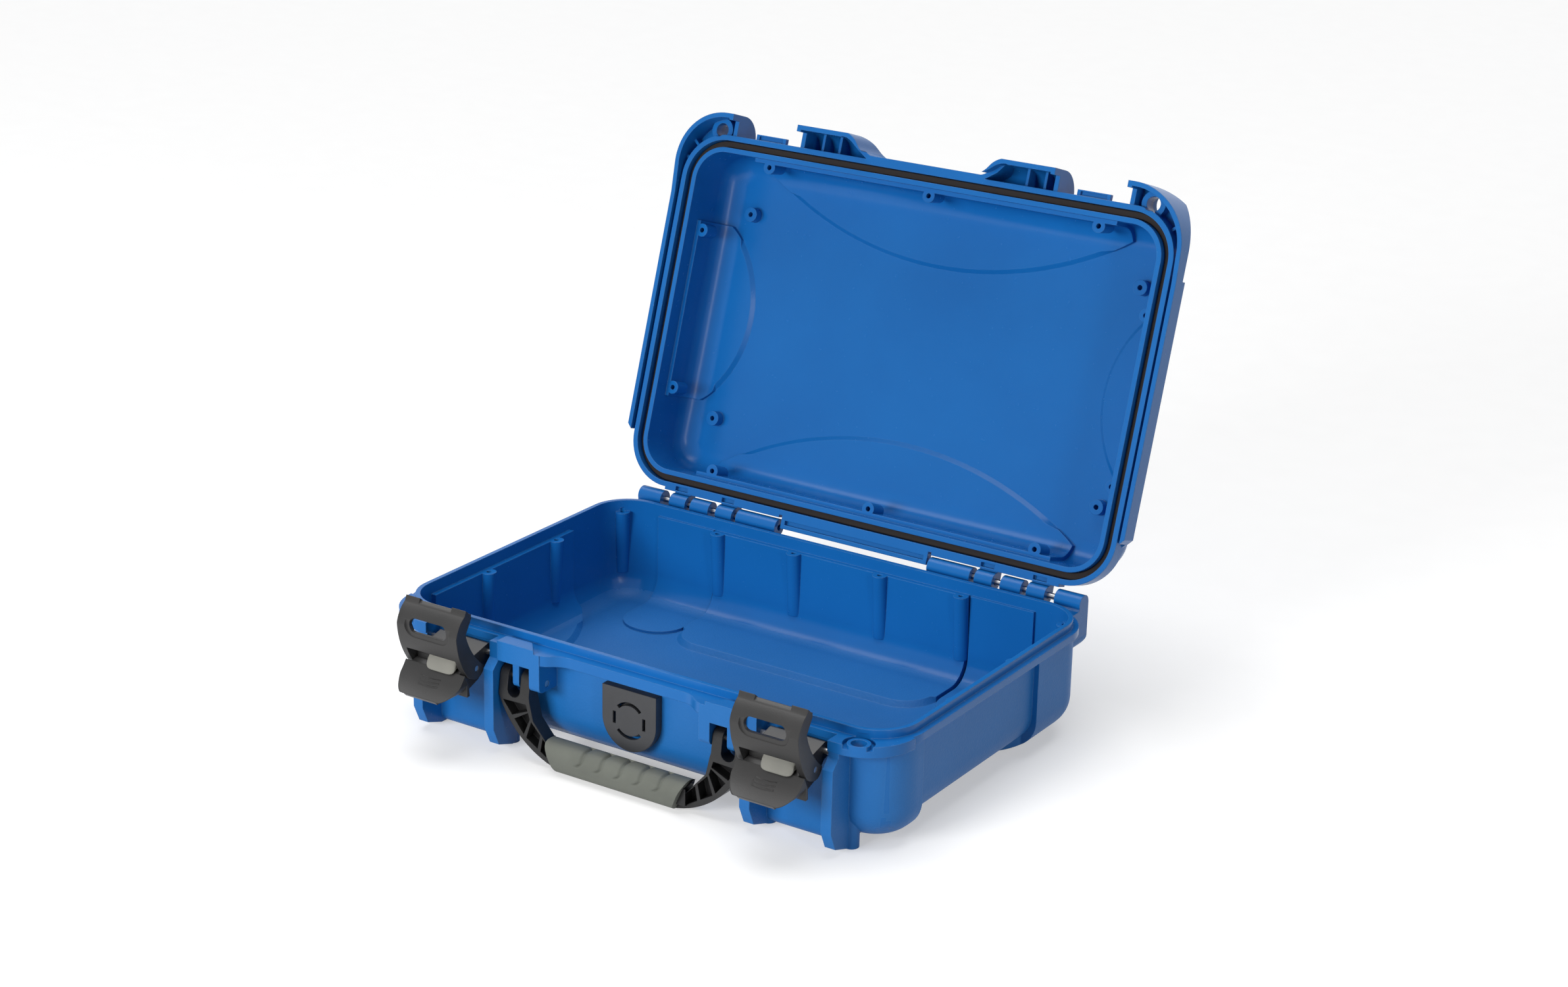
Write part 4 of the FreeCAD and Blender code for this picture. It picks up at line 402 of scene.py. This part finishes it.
# Latches: on each side a lever turns on its pin in the bay, and carries the bowed claw that
# hooks over the lid. Both are moulded in dark glass-filled nylon with a fine matt grain, and
# the slider that locks the lever in a paler one.
def dark_nylon(name, colour, pale, rough):
    """Filled nylon with faint flow marks and a fine matt grain."""
    finish, tree = new_finish(name)
    place = add_node(tree, "ShaderNodeTexCoord").outputs["Object"]
    flow = add_node(tree, "ShaderNodeTexNoise", {"Vector": place, "Scale": 60.0, "Detail": 5.0})
    tone = add_node(tree, "ShaderNodeValToRGB", {"Fac": flow.outputs["Fac"]})
    tone.color_ramp.elements[0].position = 0.3
    tone.color_ramp.elements[0].color = paint(*colour)
    tone.color_ramp.elements[1].position = 0.75
    tone.color_ramp.elements[1].color = paint(*pale)
    soft = add_node(tree, "ShaderNodeBevel", {"Radius": 0.0006}, samples=4)
    grain = add_node(tree, "ShaderNodeTexNoise", {"Vector": place, "Scale": 1300.0, "Detail": 2.0})
    relief = add_node(tree, "ShaderNodeBump", {"Strength": 0.8, "Distance": 5e-5,
                      "Height": grain.outputs["Fac"], "Normal": soft.outputs["Normal"]})
    gloss = add_node(tree, "ShaderNodeMapRange", {"Value": flow.outputs["Fac"], "To Min": rough - 0.06,
                     "To Max": rough + 0.06})
    skin = add_node(tree, "ShaderNodeBsdfPrincipled", {"Base Color": tone.outputs["Color"],
                    "Roughness": gloss.outputs[0], "Normal": relief.outputs[0], "Specular IOR Level": 0.5})
    add_node(tree, "ShaderNodeOutputMaterial", {"Surface": skin.outputs[0]})
    return finish


latch_nylon = dark_nylon("latch_nylon", (31, 31, 31), (38, 37, 37), 0.44)
slider_nylon = dark_nylon("slider_nylon", (112, 112, 106), (128, 127, 120), 0.40)
paddle_root = Vector((0, -0.1276, 0.0472))
paddle_tip = Vector((0, -0.1408, 0.0350))
paddle_out = Vector((0, -0.6789, 0.7345))
paddle_dish = 0.0048
ridge_radius = 0.00042
ridge_bend = 0.030
ridge_sweep = math.radians(24)


def cut_across(shape, place, normal):
    """Adds a line of edges where a plane crosses the shape."""
    bmesh.ops.bisect_plane(shape, geom=shape.verts[:] + shape.edges[:] + shape.faces[:], dist=1e-7,
                           plane_co=place, plane_no=normal)


def finger_ridges(lever, middle_x):
    """Three slim curved ridges across the paddle below the slider, moulded with the lever."""
    for share in (0.36, 0.47, 0.58):
        sunk = paddle_dish * share * (1 - share) + 0.0001
        seat = paddle_root.lerp(paddle_tip, share) - paddle_out * sunk
        seat.x = middle_x
        centre = seat + (paddle_root - paddle_tip).normalized() * ridge_bend
        start = Matrix.Rotation(-ridge_sweep / 2, 4, paddle_out)
        foot = centre + start @ (seat - centre)
        stand = Matrix.Translation(foot) @ start @ Matrix.Rotation(math.radians(90), 4, "Y")
        ring = bmesh.ops.create_circle(lever, cap_ends=True, segments=10, radius=ridge_radius,
                                       matrix=stand)["verts"]
        cap = list({face for corner in ring for face in corner.link_faces})
        edges = list({edge for corner in ring for edge in corner.link_edges})
        swept = bmesh.ops.spin(lever, geom=ring + edges + cap, cent=centre, axis=paddle_out,
                               angle=ridge_sweep, steps=14)
        ridge = list({face for corner in ring for face in corner.link_faces} |
                     {part for part in swept["geom_last"] if isinstance(part, bmesh.types.BMFace)})
        bmesh.ops.recalc_face_normals(lever, faces=ridge)


def round_ends(slider, low_x, high_x):
    """The slider is a lozenge: its section shrinks towards both ends."""
    heart = Vector((0, -0.1258, 0.0503))
    taper = 0.0042
    end_share = 0.55
    for inset in (0.0006, 0.0014, 0.0026, taper):
        for plane in (low_x + inset, high_x - inset):
            cut_across(slider, (plane, 0, 0), (1, 0, 0))
    for corner in slider.verts:
        inset = min(corner.co.x - low_x, high_x - corner.co.x, taper) / taper
        full = end_share + (1 - end_share) * math.sqrt(1 - (1 - inset) ** 2)
        corner.co.y = heart.y + (corner.co.y - heart.y) * full
        corner.co.z = heart.z + (corner.co.z - heart.z) * full


for side in ("left", "right"):
    for node, body, finish, slot in (("latch_lever", "lever", latch_nylon, "latch_dark"),
                                     ("latch_claw", "claw", latch_nylon, "latch_dark"),
                                     ("lock_slider", "slider", slider_nylon, "slider_light")):
        shape = merged_copy("%s_%s" % (node, side))
        low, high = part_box("%s_%s" % (node, side))
        if node == "latch_lever":
            finger_ridges(shape, (low[0] + high[0]) / 2)
        if node == "lock_slider":
            round_ends(shape, low[0], high[0])
        piece = link_mesh("%s_%s_moulded" % (node, side), shape)
        piece.data.materials.append(finish)
        crease(piece, 0.0006)
        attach(piece, "%s_%s" % (body, side))
        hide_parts("%s_%s" % (node, side))


# Handle: two forked arms and a core bar moulded as one piece of black nylon. A grey rubber
# sleeve is moulded over the bar, with shallow waves for the fingers.
handle_nylon = dark_nylon("handle_nylon", (15, 15, 16), (21, 21, 22), 0.42)
arm_shape = merged_copy("handle_frame")
# The arms' upper corners beside the sleeve are drawn in, so that none stands out behind it.
arm_cut = 0.048
arm_inner = 0.046
arm_shoulder = 0.0165
arm_middle = -0.1067
arm_slim = 0.45
arm_sink = 0.0014
for plane in (-arm_cut, arm_cut):
    cut_across(arm_shape, (plane, 0, 0), (1, 0, 0))
for corner in arm_shape.verts:
    if abs(corner.co.x) < arm_inner and corner.co.z > arm_shoulder:
        corner.co.y = arm_middle + (corner.co.y - arm_middle) * arm_slim
        corner.co.z -= arm_sink
handle_arms = link_mesh("handle_arms", arm_shape)
handle_arms.data.materials.append(handle_nylon)
crease(handle_arms, 0.0006)
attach(handle_arms, "handle")
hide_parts("handle_frame")

grip_rubber = soft_rubber("grip_rubber", (104, 107, 100), 0.62)
grip_low, grip_high = [Vector(corner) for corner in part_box("handle_grip")]
grip_axis = Vector((0, (grip_low.y + grip_high.y) / 2, (grip_low.z + grip_high.z) / 2))
grip_shape = merged_copy("handle_grip")
bore_half_deep = 0.0060
bore_half_high = 0.0065
section_round = 2.5
wave_pitch = 0.0120
wave_first = -0.0187
wave_count = 5
wave_half_wide = 0.0009
wave_deep = 0.0011
wave_back = 0.004
wave_foot = 0.0080
wave_fade = 0.0012
hook_top = 0.0118
hook_tall = 0.0032
hook_aside = 0.0034
scallop_deep = 0.00025
scallop_foot = 0.0110
scallop_fade = 0.003


def slice_grip(normal, start, stop, step):
    """Cuts the sleeve's skin into narrow strips, fine enough to carry the waves."""
    for cut in range(int((stop - start) / step) + 1):
        cut_across(grip_shape, Vector(normal) * (start + cut * step), normal)


slice_grip((1, 0, 0), -0.0290, 0.0390, 0.0005)
slice_grip((0, 0, 1), 0.0080, 0.0168, 0.0004)
slice_grip((0, 1, 0), grip_low.y + 0.0040, grip_high.y - 0.0040, 0.0010)
for corner in grip_shape.verts:
    inward = Vector((0, grip_axis.y - corner.co.y, grip_axis.z - corner.co.z))
    on_skin = abs(inward.y) > bore_half_deep or abs(inward.z) > bore_half_high
    if not on_skin:
        continue
    across = abs(inward.y) / (grip_axis.y - grip_low.y)
    upright = abs(inward.z) / (grip_axis.z - grip_low.z)
    bulge = max(1.0, (across ** section_round + upright ** section_round) ** (1 / section_round))
    corner.co.y = grip_axis.y - inward.y / bulge
    corner.co.z = grip_axis.z - inward.z / bulge
    height = corner.co.z - grip_low.z
    if corner.co.y >= grip_axis.y + wave_back or height <= wave_foot:
        continue
    depth = 0.0
    for wave in range(wave_count):
        hook = max(0.0, hook_top - height) / hook_tall
        middle = wave_first + wave * wave_pitch - hook_aside * hook * hook
        aside = (corner.co.x - middle) / wave_half_wide
        fade = min(1.0, max(0.0, (height - wave_foot) / wave_fade))
        depth = max(depth, wave_deep * math.exp(-aside * aside) * fade)
    sway = (corner.co.x - wave_first) / wave_pitch
    if -0.5 < sway < wave_count - 0.5 and height > scallop_foot:
        swell = 1 + math.cos(2 * math.pi * sway)
        depth += scallop_deep * swell * min(1.0, (height - scallop_foot) / scallop_fade)
    corner.co += inward.normalized() * depth
grip_sleeve = link_mesh("grip_sleeve", grip_shape)
grip_sleeve.data.materials.append(grip_rubber)
crease(grip_sleeve, 0.0010, 50)
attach(grip_sleeve, "handle")
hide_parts("handle_grip")


# Pressure valve: a dark slotted plate snapped over a breather membrane in the front wall,
# sealed by a rubber ring and held from inside by a round nut.
plate_nylon = dark_nylon("plate_nylon", (44, 45, 48), (52, 53, 56), 0.38)
front_plate = link_mesh("front_plate", merged_copy("valve_cover"))
front_plate.data.materials.append(plate_nylon)
crease(front_plate, 0.0005)
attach(front_plate, "base")
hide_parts("valve_cover")
for node, finish in (("valve_body", handle_nylon), ("valve_nut", handle_nylon),
                     ("valve_seal", soft_rubber("seal_black", (40, 38, 37), 0.6)),
                     ("valve_membrane", soft_rubber("membrane_pale", (222, 222, 216), 0.8))):
    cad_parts[node].data.materials[0] = finish
